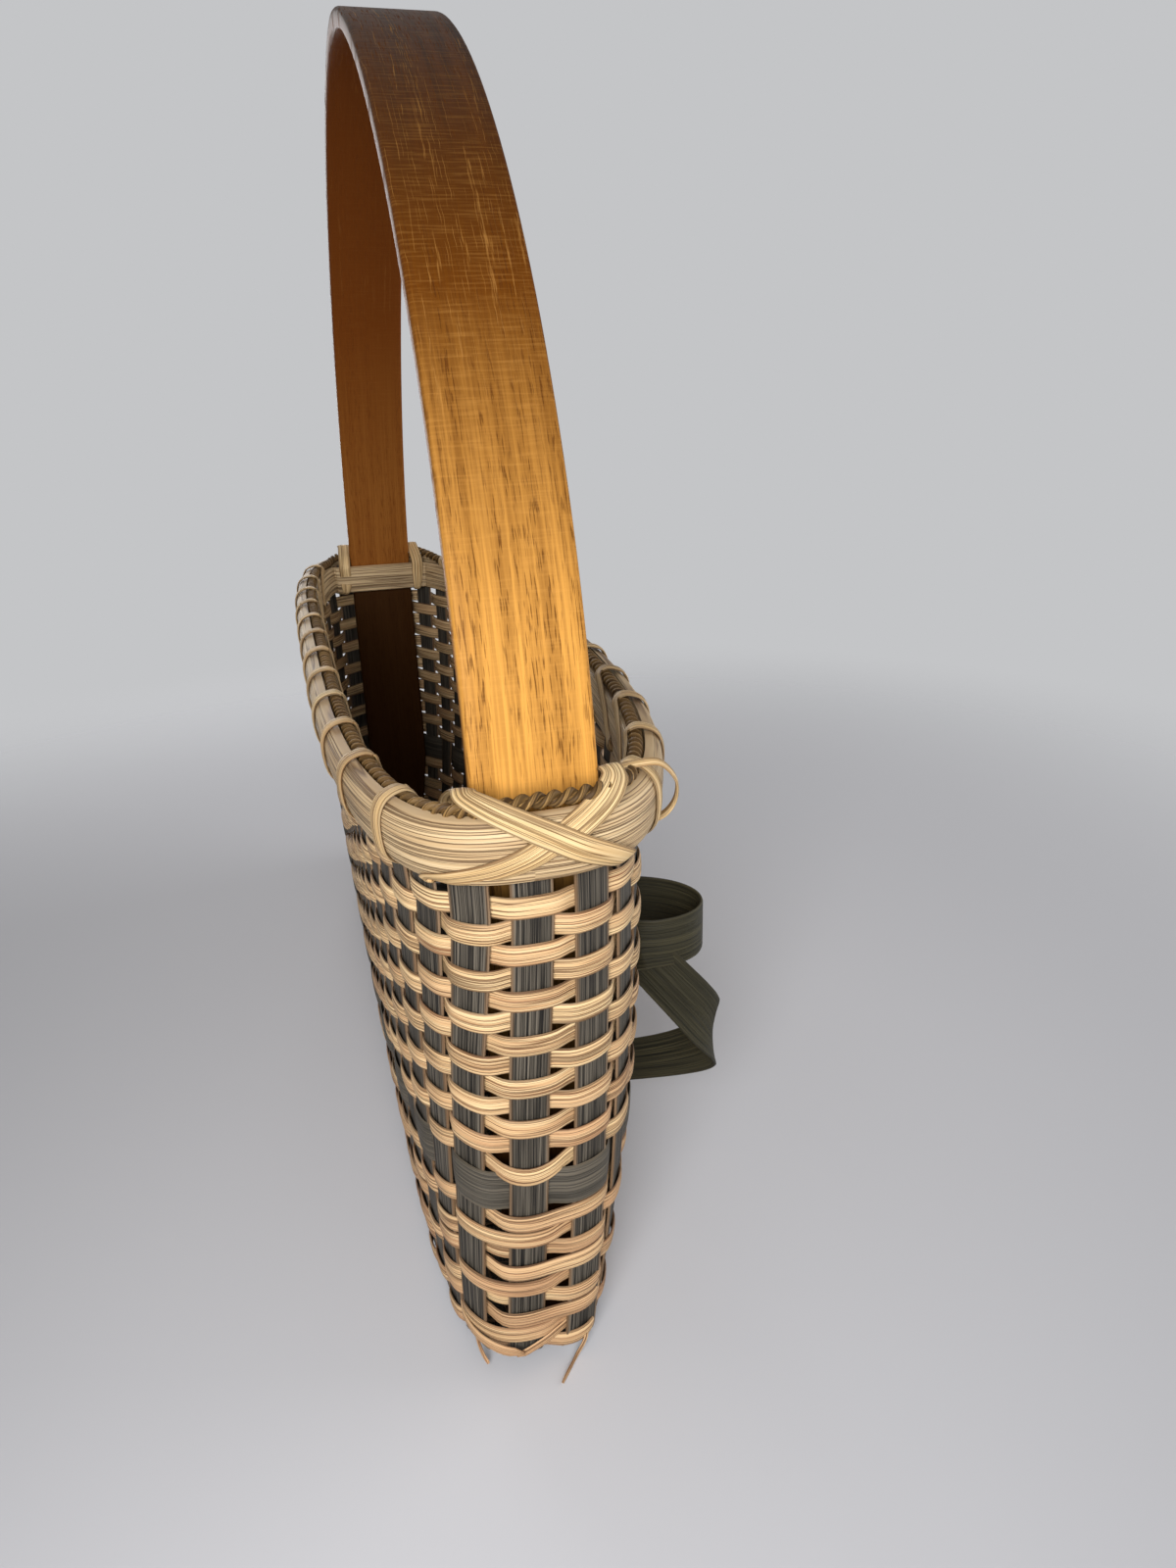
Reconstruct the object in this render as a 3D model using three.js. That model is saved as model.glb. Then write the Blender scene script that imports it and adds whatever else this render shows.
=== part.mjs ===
// Door hanging basket: a long, shallow splint basket on a bent wooden handle.
// Flat reed stakes cross in the base and turn up into the wall, rows of narrower
// reed are woven over and under them, and two rims clamp the stake tops.
// Millimetres, +Z up. X runs along the door, the bow is on the front, at -Y.
// The origin is under the middle of the whole object, with its bow.
import * as THREE from 'three';

// Reed stock
const stakeWidth = 9.5;
const stakeThick = 0.9;
const weaverWidth = 5.6;
const weaverThick = 0.8;
const bandWidth = 12.6;
const lashWidth = 5.6;
const lashNeck = 3.4;
const lashThick = 0.8;
const ribbonWidth = 16;
const ribbonThick = 0.9;
const gap = 0.3;
const layerGap = 0.5;

// Plan of the wall's middle surface at the mouth: half length, depth to the front and
// back of the middle line, and how square the front and back are. Then how far the
// base is drawn in from it, and how far the brim under the rims leans out.
const mouth = { halfLength: 186.5, front: 46.5, back: 37.5, frontPower: 2.45, backPower: 3.6 };
const drawnIn = { halfLength: 8, front: 25, back: 8.4, frontPower: -1.55, backPower: -1.9 };
const leansOut = { halfLength: -0.5, front: 3, back: 3, frontPower: 0.02, backPower: 0.1 };
const wallBend = 2;

// Stakes: three run the length of the base, the others cross it
const lengthStakes = 3;
const crossStakes = 25;
const baseStakeShift = 7.5;
const mouthStakeShift = 4;
const basePitch = 11.6;
const bendHeight = 4.5;
const bendReach = 2.5;

// Rows of weaving, from the lowest one's middle up: the lower rows, the band and the
// upper rows
const bottomRowHeight = 7;
const rowGap = 0.43;
const bandGap = 0.2;
const lowerRows = 9;
const upperRows = 13;

// Rims
const rimClear = 4;
const outerRimHeight = 16;
const outerRimThick = 5.2;
const rimCrownHeight = 10;
const innerRimHeight = 13;
const innerRimThick = 3;
const innerRimDrop = 3.5;
const ropeRadius = 2;
const lashLoops = 12;

// Handle
const handleWidth = 30;
const handleThick = 5.4;
const handleChamfer = 1.1;
const archHeight = 211.6;
const springBelowRim = 3;
const archPower = 1.765;
const archSteps = 25;
const legEnd = 10;
const legTaperHeight = 60;
const legTipWidth = 18;

// Bow on the front: two loops of one ribbon, folded where it lies on the wall. Each
// loop has a height at its near and far root, its far root's and near root's stake
// gap, how far it stands out and how far it leans towards the near end.
const bowUpper = { nearStakes: 5.3, farStakes: 7.2, nearHeight: 97, farHeight: 98, reach: 20, lean: 3 };
const bowLower = { nearStakes: 5.65, farStakes: 7.4, nearHeight: 95, farHeight: 36, reach: 31, lean: 11 };
const bowSteps = 10;
const bowRunStakes = 0.8;
const bowEase = 1.6;
const nearRootClear = 5;
const farRootClear = 1.6;

// Heights that follow from the rows
const rowPitch = weaverWidth + rowGap;
const bandStep = (weaverWidth + bandWidth) / 2 + bandGap;
const bandHeight = bottomRowHeight + (lowerRows - 1) * rowPitch + bandStep;
const topRowHeight = bandHeight + bandStep + (upperRows - 1) * rowPitch;
const mouthHeight = topRowHeight - rowPitch / 2;
const rimBottom = topRowHeight + weaverWidth / 2 + rimClear;
const rimTop = rimBottom + outerRimHeight;
const outerRimMiddle = rimTop - outerRimHeight / 2;
const innerRimTop = rimTop - innerRimDrop;
const archSpring = rimBottom - springBelowRim;
const handleTop = archSpring + archHeight;
const levels = [0, 0.245 * mouthHeight, 0.595 * mouthHeight, mouthHeight, rimTop];

const stakeEnds = 2 * (lengthStakes + crossStakes);
const farEnd = stakeEnds / 2;
const stakeTop = innerRimTop - gap;
const padHalf = stakeWidth / 2 + 0.35;
const outerSeat = stakeThick / 2 + gap;
const innerSeat = stakeThick / 2 + gap + weaverThick;

const colours = {
  natural: new THREE.MeshStandardMaterial({ color: 0xc49a68, roughness: 0.62, metalness: 0 }),
  rimReed: new THREE.MeshStandardMaterial({ color: 0xd9bd88, roughness: 0.58, metalness: 0 }),
  dyed: new THREE.MeshStandardMaterial({ color: 0x3b3834, roughness: 0.66, metalness: 0 }),
  olive: new THREE.MeshStandardMaterial({ color: 0x4a4538, roughness: 0.66, metalness: 0 }),
  rope: new THREE.MeshStandardMaterial({ color: 0x8a7442, roughness: 0.85, metalness: 0 }),
  oak: new THREE.MeshStandardMaterial({ color: 0xb8722c, roughness: 0.3, metalness: 0 }),
};

const basket = new THREE.Group();

function addMesh(name, geometry, material) {
  const mesh = new THREE.Mesh(geometry, material);
  mesh.name = name;
  basket.add(mesh);
}

// Skins a row of sections, each a loop of as many points, with flat ends or as a ring
function loft(sections, closed = false) {
  const sides = sections[0].length;
  const positions = [];
  for (const section of sections) {
    for (const point of section) positions.push(point.x, point.y, point.z);
  }
  const spans = closed ? sections.length : sections.length - 1;
  const faces = [];
  for (let i = 0; i < spans; i++) {
    const here = i * sides;
    const next = ((i + 1) % sections.length) * sides;
    for (let j = 0; j < sides; j++) {
      const k = (j + 1) % sides;
      faces.push([here + j, here + k, next + k], [here + j, next + k, next + j]);
    }
  }
  if (!closed) {
    const last = (sections.length - 1) * sides;
    for (let j = 1; j < sides - 1; j++) {
      faces.push([0, j + 1, j], [last, last + j, last + j + 1]);
    }
  }
  const corner = (i) => new THREE.Vector3().fromArray(positions, 3 * i);
  let volume = 0;
  for (const [a, b, c] of faces) volume += corner(a).dot(corner(b).cross(corner(c)));
  const outward = volume < 0 ? faces.map(([a, b, c]) => [a, c, b]) : faces;
  const geometry = new THREE.BufferGeometry();
  geometry.setAttribute('position', new THREE.Float32BufferAttribute(positions, 3));
  geometry.setIndex(outward.flat());
  geometry.computeVertexNormals();
  return geometry;
}

// A section of points [across, out] set in two directions about a centre
function section(centre, across, out, profile) {
  return profile.map(([a, o]) =>
    centre.clone().addScaledVector(across, a).addScaledVector(out, o));
}

// A flat strip's section, middled on its path
function flatProfile(width, thick) {
  const w = width / 2;
  const t = thick / 2;
  return [[-w, -t], [w, -t], [w, t], [-w, t]];
}

// A crowned reed's section: its flat face lies on its path
function crownedProfile(width, thick) {
  return [[-width / 2, 0], [width / 2, 0], [0, thick]];
}

const mix = THREE.MathUtils.lerp;

// The plan's sizes at a height: the wall draws in towards the base, and leans out
// a little under the rims
function narrowAt(z) {
  return Math.max(0, (mouthHeight - z) / mouthHeight) ** wallBend;
}

function planAt(z) {
  const narrow = narrowAt(z);
  const flare = THREE.MathUtils.clamp((z - mouthHeight) / (rimTop - mouthHeight), 0, 1);
  const plan = {};
  for (const key of Object.keys(mouth)) {
    plan[key] = mouth[key] - narrow * drawnIn[key] + flare * leansOut[key];
  }
  return plan;
}

// One level's plan as points with their distance along it, from the middle of the
// near end, along the front to the far end and back along the back
function planCurve(z) {
  const plan = planAt(z);
  const samples = 800;
  const points = [];
  for (let i = 0; i <= samples; i++) {
    const angle = 2 * Math.PI * i / samples;
    const front = i <= samples / 2;
    const power = 2 / (front ? plan.frontPower : plan.backPower);
    const depth = front ? plan.front : plan.back;
    const c = Math.cos(angle);
    const s = Math.sin(angle);
    points.push(new THREE.Vector2(
      -plan.halfLength * Math.sign(c) * Math.abs(c) ** power,
      -depth * Math.sign(s) * Math.abs(s) ** power,
    ));
  }
  const distance = [0];
  for (let i = 1; i < points.length; i++) {
    distance.push(distance[i - 1] + points[i].distanceTo(points[i - 1]));
  }
  const shift = mix(mouthStakeShift, baseStakeShift, narrowAt(z));
  return { points, distance, shift, front: distance[samples / 2], total: distance[samples] };
}

const curves = levels.map(planCurve);

// The point of stake end k on one level's plan. Stake end 0 is the middle one of
// the near end, and half of the gaps lie on each side of the two end stakes.
function pointOnLevel(k, level) {
  const curve = curves[level];
  const turn = ((k % stakeEnds) + stakeEnds) % stakeEnds;
  const frontLength = curve.front + 2 * curve.shift;
  const backLength = curve.total - frontLength;
  const along = turn <= farEnd
    ? turn / farEnd * frontLength
    : frontLength + (turn - farEnd) / farEnd * backLength;
  const reach = (along - curve.shift + curve.total) % curve.total;
  let low = 0;
  let high = curve.distance.length - 1;
  while (high - low > 1) {
    const middle = (low + high) >> 1;
    if (curve.distance[middle] <= reach) low = middle;
    else high = middle;
  }
  const part = (reach - curve.distance[low]) / (curve.distance[high] - curve.distance[low]);
  return curve.points[low].clone().lerp(curve.points[high], part);
}

// The wall's middle surface, straight between levels as its stakes are
function wallPoint(k, z) {
  let level = 0;
  while (level < levels.length - 2 && z > levels[level + 1]) level++;
  const part = (z - levels[level]) / (levels[level + 1] - levels[level]);
  const flat = pointOnLevel(k, level).lerp(pointOnLevel(k, level + 1), part);
  return new THREE.Vector3(flat.x, flat.y, z);
}

// The wall's directions at a point: along the row, up the stake and out of the wall
function wallFrame(k, z) {
  const step = 0.05;
  const along = wallPoint(k + step, z).sub(wallPoint(k - step, z)).normalize();
  const up = wallPoint(k, z + 1).sub(wallPoint(k, z - 1));
  up.addScaledVector(along, -up.dot(along)).normalize();
  return { point: wallPoint(k, z), along, up, out: new THREE.Vector3().crossVectors(along, up) };
}

// A point of the wall's frame, moved along the row and out of the wall
function framePoint(frame, along, out) {
  return frame.point.clone().addScaledVector(frame.along, along).addScaledVector(frame.out, out);
}

// How many stakes k lies from the middle of the nearer end
function fromEnd(k) {
  return Math.min(k, stakeEnds - k, Math.abs(k - farEnd));
}

// Two stakes each side of an end's middle one have the handle's leg behind them
const legStakes = 2;

// How far inside a stake a weaver's single bend has to lie, so that the strip
// clears the stake's edges on its way from the pads of the stakes beside it
function innerReach(k, z) {
  const here = wallPoint(k, z);
  const pitch = Math.min(here.distanceTo(wallPoint(k - 1, z)), here.distanceTo(wallPoint(k + 1, z)));
  return (outerSeat + innerSeat) * (pitch - padHalf) / (pitch - 2 * padHalf) - outerSeat;
}

// One woven row: a closed strip, outside the stakes where isOver says so
function wovenRow(z, width, isOver) {
  const profile = crownedProfile(width, weaverThick);
  const sections = [];
  for (let k = 0; k < stakeEnds; k++) {
    const frame = wallFrame(k, z);
    const place = (along, out) => {
      sections.push(section(framePoint(frame, along, out), frame.up, frame.out, profile));
    };
    if (isOver(k)) {
      place(-padHalf, outerSeat);
      place(padHalf, outerSeat);
    } else if (fromEnd(k) <= legStakes) {
      place(-padHalf, -innerSeat);
      place(padHalf, -innerSeat);
    } else {
      place(0, -innerReach(k, z));
    }
  }
  return loft(sections, true);
}

// Plain weave: each row passes the other side of each stake than its neighbours
function plainWeave(row) {
  return (k) => (row + k) % 2 === 1;
}

// The lower rows go in threes, two of which share a shed. The middle stake of each
// end is passed by itself: two strips over it and then one behind it.
function lowerWeave(row) {
  const kind = row % 3;
  return (k) => {
    if (k % farEnd === 0) return kind !== 2;
    const parity = (k > farEnd ? k - 1 : k) % 2;
    return kind === 1 ? parity === 0 : parity === 1;
  };
}

function addWeaving() {
  for (let row = 1; row <= upperRows; row++) {
    const z = topRowHeight - (row - 1) * rowPitch;
    addMesh(`weaver_upper_${row}`, wovenRow(z, weaverWidth, plainWeave(row)), colours.natural);
  }
  addMesh('band', wovenRow(bandHeight, bandWidth, plainWeave(upperRows + 1)), colours.olive);
  for (let row = 0; row < lowerRows; row++) {
    const z = bottomRowHeight + (lowerRows - 1 - row) * rowPitch;
    addMesh(`weaver_lower_${row + 1}`, wovenRow(z, weaverWidth, lowerWeave(row)), colours.natural);
  }
}

// Heights in the base: crossing stakes pass under or over the lengthwise ones
const lengthLayer = 1.5 * stakeThick + gap;
const layerStep = stakeThick + gap;
const wallHeights = [stakeTop, ...levels.slice(1, -1).reverse(), bendHeight];

// The heights of a stake end's sections: one near a corner twists, so it has more
function stakeHeights(k) {
  if (fromEnd(k) === 0 || fromEnd(k) > legStakes) return wallHeights;
  const between = [0.3, 0.65].map((part) => mix(bendHeight, levels[1], part));
  return [...wallHeights, ...between].sort((a, b) => b - a);
}

// Sections of one stake end in the wall, from its top down to the turn into the base
function wallSections(k, side, layer) {
  const profile = flatProfile(stakeWidth, stakeThick);
  const sections = stakeHeights(k).map((z) => {
    const frame = wallFrame(k, z);
    return section(frame.point, frame.along.multiplyScalar(side), frame.out, profile);
  });
  const foot = wallFrame(k, 0);
  const flatOut = foot.out.clone().setZ(0).normalize();
  const turn = foot.point.addScaledVector(flatOut, -bendReach).setZ(layer);
  const down = new THREE.Vector3(0, 0, -1);
  sections.push(section(turn, foot.along.multiplyScalar(side), down, profile));
  return sections;
}

// A stake that runs the length of the base
function lengthStake(row) {
  const profile = flatProfile(stakeWidth, stakeThick);
  const down = new THREE.Vector3(0, 0, -1);
  const y = baseStakeShift - row * basePitch;
  const near = (row + stakeEnds) % stakeEnds;
  const far = farEnd - row;
  const flat = [-1, 1].map((end) => section(
    new THREE.Vector3(end * (curves[0].points[0].length() - stakeWidth - bendReach), y, lengthLayer),
    new THREE.Vector3(0, -1, 0), down, profile));
  return loft([
    ...wallSections(near, 1, lengthLayer),
    ...flat,
    ...wallSections(far, -1, lengthLayer).reverse(),
  ]);
}

// A stake that crosses the base, over and under the lengthwise ones in turn
function crossStake(number) {
  const profile = flatProfile(stakeWidth, stakeThick);
  const down = new THREE.Vector3(0, 0, -1);
  const frontEnd = legStakes - 1 + number;
  const backEnd = stakeEnds - frontEnd;
  const front = wallPoint(frontEnd, 0);
  const back = wallPoint(backEnd, 0);
  const layerAt = (row) => lengthLayer + ((number + row) % 2 === 0 ? layerStep : -layerStep);
  const crossing = [];
  for (const row of [1, 0, -1]) {
    for (const edge of [-1, 1]) {
      const y = baseStakeShift - row * basePitch + edge * (stakeWidth / 2 + gap);
      const x = mix(front.x, back.x, (y - front.y) / (back.y - front.y));
      const centre = new THREE.Vector3(x, y, layerAt(row));
      crossing.push(section(centre, new THREE.Vector3(1, 0, 0), down, profile));
    }
  }
  return loft([
    ...wallSections(frontEnd, 1, layerAt(1)),
    ...crossing,
    ...wallSections(backEnd, -1, layerAt(-1)).reverse(),
  ]);
}

function addStakes() {
  addMesh('stake_length_front', lengthStake(1), colours.dyed);
  addMesh('stake_length_middle', lengthStake(0), colours.dyed);
  addMesh('stake_length_back', lengthStake(-1), colours.dyed);
  for (let number = 1; number <= crossStakes; number++) {
    addMesh(`stake_cross_${number}`, crossStake(number), colours.dyed);
  }
}

const up = new THREE.Vector3(0, 0, 1);

// The wall's directions where it carries the rims, which lean out with it
function rimFrame(k) {
  return wallFrame(k, outerRimMiddle);
}

// A point of the rim bundle, out from the stakes' middle surface
function rimPoint(k, out, z) {
  return wallPoint(k, z).addScaledVector(rimFrame(k).out, out);
}

const outerRimFace = stakeThick / 2 + gap;
const outerRimReach = outerRimFace + outerRimThick;

// How far the rims turn from one side of a stake to the other
function turnAt(k) {
  return rimFrame(k + 0.5).along.angleTo(rimFrame(k - 0.5).along);
}

// The stations of a ring outside the stakes: one for each stake, and one for each
// edge of a stake where the wall turns quickly
function rimStations() {
  const stations = [];
  for (let k = 0; k < stakeEnds; k++) {
    const frame = rimFrame(k);
    const edges = turnAt(k) > 0.1 ? [-padHalf, padHalf] : [0];
    for (const edge of edges) stations.push({ frame, edge });
  }
  return stations;
}

function addOuterRim() {
  const half = outerRimHeight / 2;
  const profile = [
    [-half, outerRimFace], [half, outerRimFace],
    [rimCrownHeight / 2, outerRimReach], [-rimCrownHeight / 2, outerRimReach],
  ];
  const sections = rimStations().map(({ frame, edge }) =>
    section(framePoint(frame, edge, 0), frame.up, frame.out, profile));
  addMesh('rim_outer', loft(sections, true), colours.rimReed);
}

// The handle's leg stands inside the weaving. This is its outer face's distance
// from the middle of the basket, clear of the rows behind it all across its width.
function legFace(z, halfWidth) {
  let face = Infinity;
  for (let k = -legStakes - 1; k <= legStakes + 1; k += 0.05) {
    const frame = wallFrame(k, z);
    const seat = framePoint(frame, 0, -(innerSeat + gap));
    if (Math.abs(seat.y) <= halfWidth + gap) face = Math.min(face, -seat.x);
  }
  return face;
}

// The handle's middle line: an arch from the height where it springs
const springHalf = legFace(archSpring, handleWidth / 2) - handleThick / 2;
const archRise = handleTop - handleThick / 2 - archSpring;

function archPoint(step) {
  const angle = Math.PI * step / archSteps;
  const c = Math.cos(angle);
  const x = -springHalf * Math.sign(c) * Math.abs(c) ** (2 / archPower);
  return { x, z: archSpring + archRise * Math.max(0, Math.sin(angle)) ** (2 / archPower) };
}

// The handle's inner face at the inner rim's top, where it leans in the most
const firstArch = archPoint(1);
const archLean = (springHalf + firstArch.x) / (firstArch.z - archSpring);
const handleInside = springHalf - archLean * (innerRimTop - archSpring) - 0.503 * handleThick;

// How far the ties' turns over the rims lie from the middle of the handle, and how
// far the inner rim runs straight past the handle's leg before it bends away
const tieSide = handleWidth / 2 + gap + lashWidth / 2 + gap;
const innerRimClear = tieSide + lashWidth / 2 + gap;

// The inner rim lies against the stakes, and passes behind the handle at each end
function addInnerRim() {
  const profile = flatProfile(innerRimHeight, innerRimThick);
  const middle = innerRimTop - innerRimHeight / 2;
  const seat = -(stakeThick / 2 + gap + innerRimThick / 2);
  const againstStake = (k) => {
    const frame = rimFrame(k);
    return section(rimPoint(k, seat, middle), frame.up, frame.out, profile);
  };
  const stretch = (first, last) => {
    const sections = [];
    for (let k = first; k <= last; k += turnAt(k) > 0.1 ? 0.5 : 1) sections.push(againstStake(k));
    return sections;
  };
  const behindHandle = (end) => [end, -end].map((side) => section(
    new THREE.Vector3(-end * (handleInside - gap - innerRimThick / 2), side * innerRimClear, middle),
    up, new THREE.Vector3(-end, 0, 0), profile));
  const sections = [
    ...behindHandle(1),
    againstStake(2.5),
    ...stretch(3, farEnd - 3),
    againstStake(farEnd - 2.5),
    ...behindHandle(-1),
    ...stretch(farEnd + 2, stakeEnds - 2),
  ];
  addMesh('rim_inner', loft(sections, true), colours.rimReed);
}

// The rope fills the groove on top of the rims, and rides over the outer rim's edge
// in front of the handle
const ropeSeat = -(ropeRadius + gap - outerRimFace);
const ropeHeight = innerRimTop + gap + ropeRadius;
const ropeRaised = rimTop + 3 * gap + ropeRadius;

function passesHandle(k) {
  return fromEnd(k) <= 1 && Math.abs(wallPoint(k, rimTop).y) < handleWidth / 2 + ropeRadius;
}

// How far the rope lies above its groove at a stake
function ropeRise(k) {
  const rise = ropeRaised - ropeHeight;
  if (passesHandle(k)) return rise;
  const beside = passesHandle((k + 1) % stakeEnds) || passesHandle((k + stakeEnds - 1) % stakeEnds);
  return beside ? rise / 2 : 0;
}

function addRope() {
  const sides = 5;
  const profile = [];
  for (let i = 0; i < sides; i++) {
    const angle = 2 * Math.PI * i / sides;
    profile.push([ropeRadius * Math.cos(angle), ropeRadius * Math.sin(angle)]);
  }
  const sections = [];
  for (let k = 0; k < stakeEnds; k++) {
    const centre = rimPoint(k, passesHandle(k) ? ropeRadius : ropeSeat, ropeHeight + ropeRise(k));
    sections.push(section(centre, up, rimFrame(k).out, profile));
  }
  addMesh('rim_rope', loft(sections, true), colours.rope);
}

// A strip that follows stations: its flat face passes through their points, and its
// crown lies on their outer side. Its width is square to its path, or along the
// direction that a station gives, and it never turns over on the way.
function stripAlong(stations, width, thick) {
  let lastSide = null;
  return stations.map(({ point, out, across, narrow }, i) => {
    const before = stations[Math.max(0, i - 1)].point;
    const after = stations[Math.min(stations.length - 1, i + 1)].point;
    const travel = after.clone().sub(before).normalize();
    const side = across?.clone() ?? new THREE.Vector3().crossVectors(travel, out).normalize();
    if (lastSide && side.dot(lastSide) < 0) side.negate();
    lastSide = side;
    const outward = out.clone().addScaledVector(side, -out.dot(side)).normalize();
    return section(point, side, outward, crownedProfile(narrow ?? width, thick));
  });
}

// The least gap of a wound strip to itself, measured between points on stretches of
// it that lie at least so many stations apart
function printSelfGap(name, sections, apart) {
  const steps = 6;
  const points = [];
  for (let i = 0; i < sections.length - 1; i++) {
    for (let step = 0; step < steps; step++) {
      const [a, b, c] = sections[i].map((p, j) => p.clone().lerp(sections[i + 1][j], step / steps));
      const middle = a.clone().add(b).multiplyScalar(0.5);
      for (const point of [a, b, c, middle]) points.push({ point, at: i + step / steps });
    }
  }
  let least = Infinity;
  for (const one of points) {
    for (const other of points) {
      if (other.at - one.at >= apart) least = Math.min(least, one.point.distanceTo(other.point));
    }
  }
  console.log(`${name}: least gap to itself ${least.toFixed(2)} mm`);
}

// Way of the lashing once round the rim bundle: up behind the inner rim, over the
// top, down the outside and back under. Each place gives [stakes ahead of the loop's
// gap, out, height, its outer side as out and up]. A place marked square has its
// width along the rim, and one on the rope rises with it.
const innerFace = stakeThick / 2 + 2 * gap + innerRimThick;
const ropeTop = ropeHeight + ropeRadius;
const bundleWay = [
  { ahead: -1, out: -innerFace, z: outerRimMiddle - layerGap, facing: [-1, 0] },
  { ahead: 0, out: -innerFace, z: rimTop - 2 * gap, facing: [-1, 0.4], square: true, onRope: true },
  { ahead: 0, out: ropeSeat + gap, z: ropeTop + 2.3 * gap, facing: [-0.1, 1], square: true, onRope: true },
  { ahead: 0, out: outerRimReach + gap, z: outerRimMiddle + rimCrownHeight / 2, facing: [1, 0.4], square: true },
  { ahead: 0, out: outerRimReach + gap, z: outerRimMiddle - rimCrownHeight / 2, facing: [1, -0.4], square: true },
  { ahead: 0, out: gap, z: rimBottom - layerGap, facing: [0, -1], square: true, narrow: lashNeck },
  { ahead: 0, out: -innerFace, z: rimBottom - 2 * gap, facing: [-0.7, -0.7], square: true, narrow: lashNeck },
];

// A station of a strip on the rim bundle
function bundleStation(k, place, step) {
  const frame = rimFrame(k + place.ahead * step / 2);
  const [outward, upward] = place.facing;
  const out = frame.out.clone().multiplyScalar(outward).addScaledVector(frame.up, upward);
  const rise = place.onRope ? Math.max(ropeRise(Math.floor(k)), ropeRise(Math.ceil(k))) : 0;
  const point = rimPoint(k + place.ahead * step / 2, place.out, place.z + rise);
  out.normalize();
  return { point, out, across: place.square ? frame.along : undefined, narrow: place.narrow };
}

// Spiral lashing: each loop passes between two stakes under the rims, goes up
// behind the inner rim to the gap after the next stake, and over the top
function addLashing(name, firstGap, step) {
  const stations = [];
  for (let loop = 0; loop < lashLoops; loop++) {
    const first = loop === 0 ? -0.15 : 1;
    bundleWay.forEach((place) => {
      const ahead = place.ahead * first;
      stations.push(bundleStation(firstGap + loop * step, { ...place, ahead }, step));
    });
  }
  const sections = stripAlong(stations, lashWidth, lashThick);
  printSelfGap(name, sections, bundleWay.length / 2);
  addMesh(name, loft(sections), colours.rimReed);
}

// A station of a tie where it crosses the outer rim's face at an edge of a stake,
// or turns up from under it in the middle of a gap, lifted over what lies under it
function crossingStation(k, edge, z, lift = 0) {
  const reach = outerRimReach + gap + lift;
  const onRim = (stake, side) => {
    const frame = rimFrame(stake);
    const rise = (z - outerRimMiddle) / frame.up.z;
    return framePoint(frame, side, reach).addScaledVector(frame.up, rise);
  };
  const inGap = k !== Math.round(k);
  const point = inGap
    ? onRim(Math.floor(k), padHalf).lerp(onRim(Math.ceil(k), -padHalf), 0.5)
    : onRim(k, edge * padHalf);
  const frame = rimFrame(k);
  const turned = frame.along.clone().addScaledVector(frame.up, Math.sign(k)).normalize();
  return { point, out: frame.out, across: inGap ? turned : undefined };
}

// How far from the middle the near end's rim bundle reaches at a y
function endReach(y, out, z) {
  let before = rimPoint(-4, out, z);
  for (let k = -3.95; k <= 4; k += 0.05) {
    const here = rimPoint(k, out, z);
    if (here.y <= y) return -mix(before.x, here.x, (y - before.y) / (here.y - before.y));
    before = here;
  }
  return -before.x;
}

// Way of a tie over the top of the rims beside the handle and down their inner face:
// two places over the rope, by their part of the way out and their drop from its top
const tieInside = handleInside - 2 * gap - innerRimThick;
const tieNeck = 2.8;
const overRope = ropeRaised + ropeRadius + gap;

function overTheTop(side, lift, [firstPart, firstDrop], [secondPart, secondDrop]) {
  const y = side * tieSide;
  const across = new THREE.Vector3(0, -1, 0);
  const facing = (x, z) => new THREE.Vector3(x, 0, z).normalize();
  const crownTop = outerRimMiddle + rimCrownHeight / 2 + 1;
  const outside = endReach(y, outerRimReach + gap + lift, crownTop);
  const station = (part, z, out) => {
    return { point: new THREE.Vector3(-mix(tieInside, outside, part), y, z), out, across };
  };
  return [
    station(1, crownTop, facing(-1, 0.5)),
    station(firstPart, overRope - firstDrop, facing(-0.5, 1)),
    station(secondPart, overRope - secondDrop, facing(0.5, 1)),
    station(0, innerRimTop + 1, facing(1, 0.5)),
    station(0, outerRimMiddle, facing(1, 0)),
  ];
}

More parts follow.
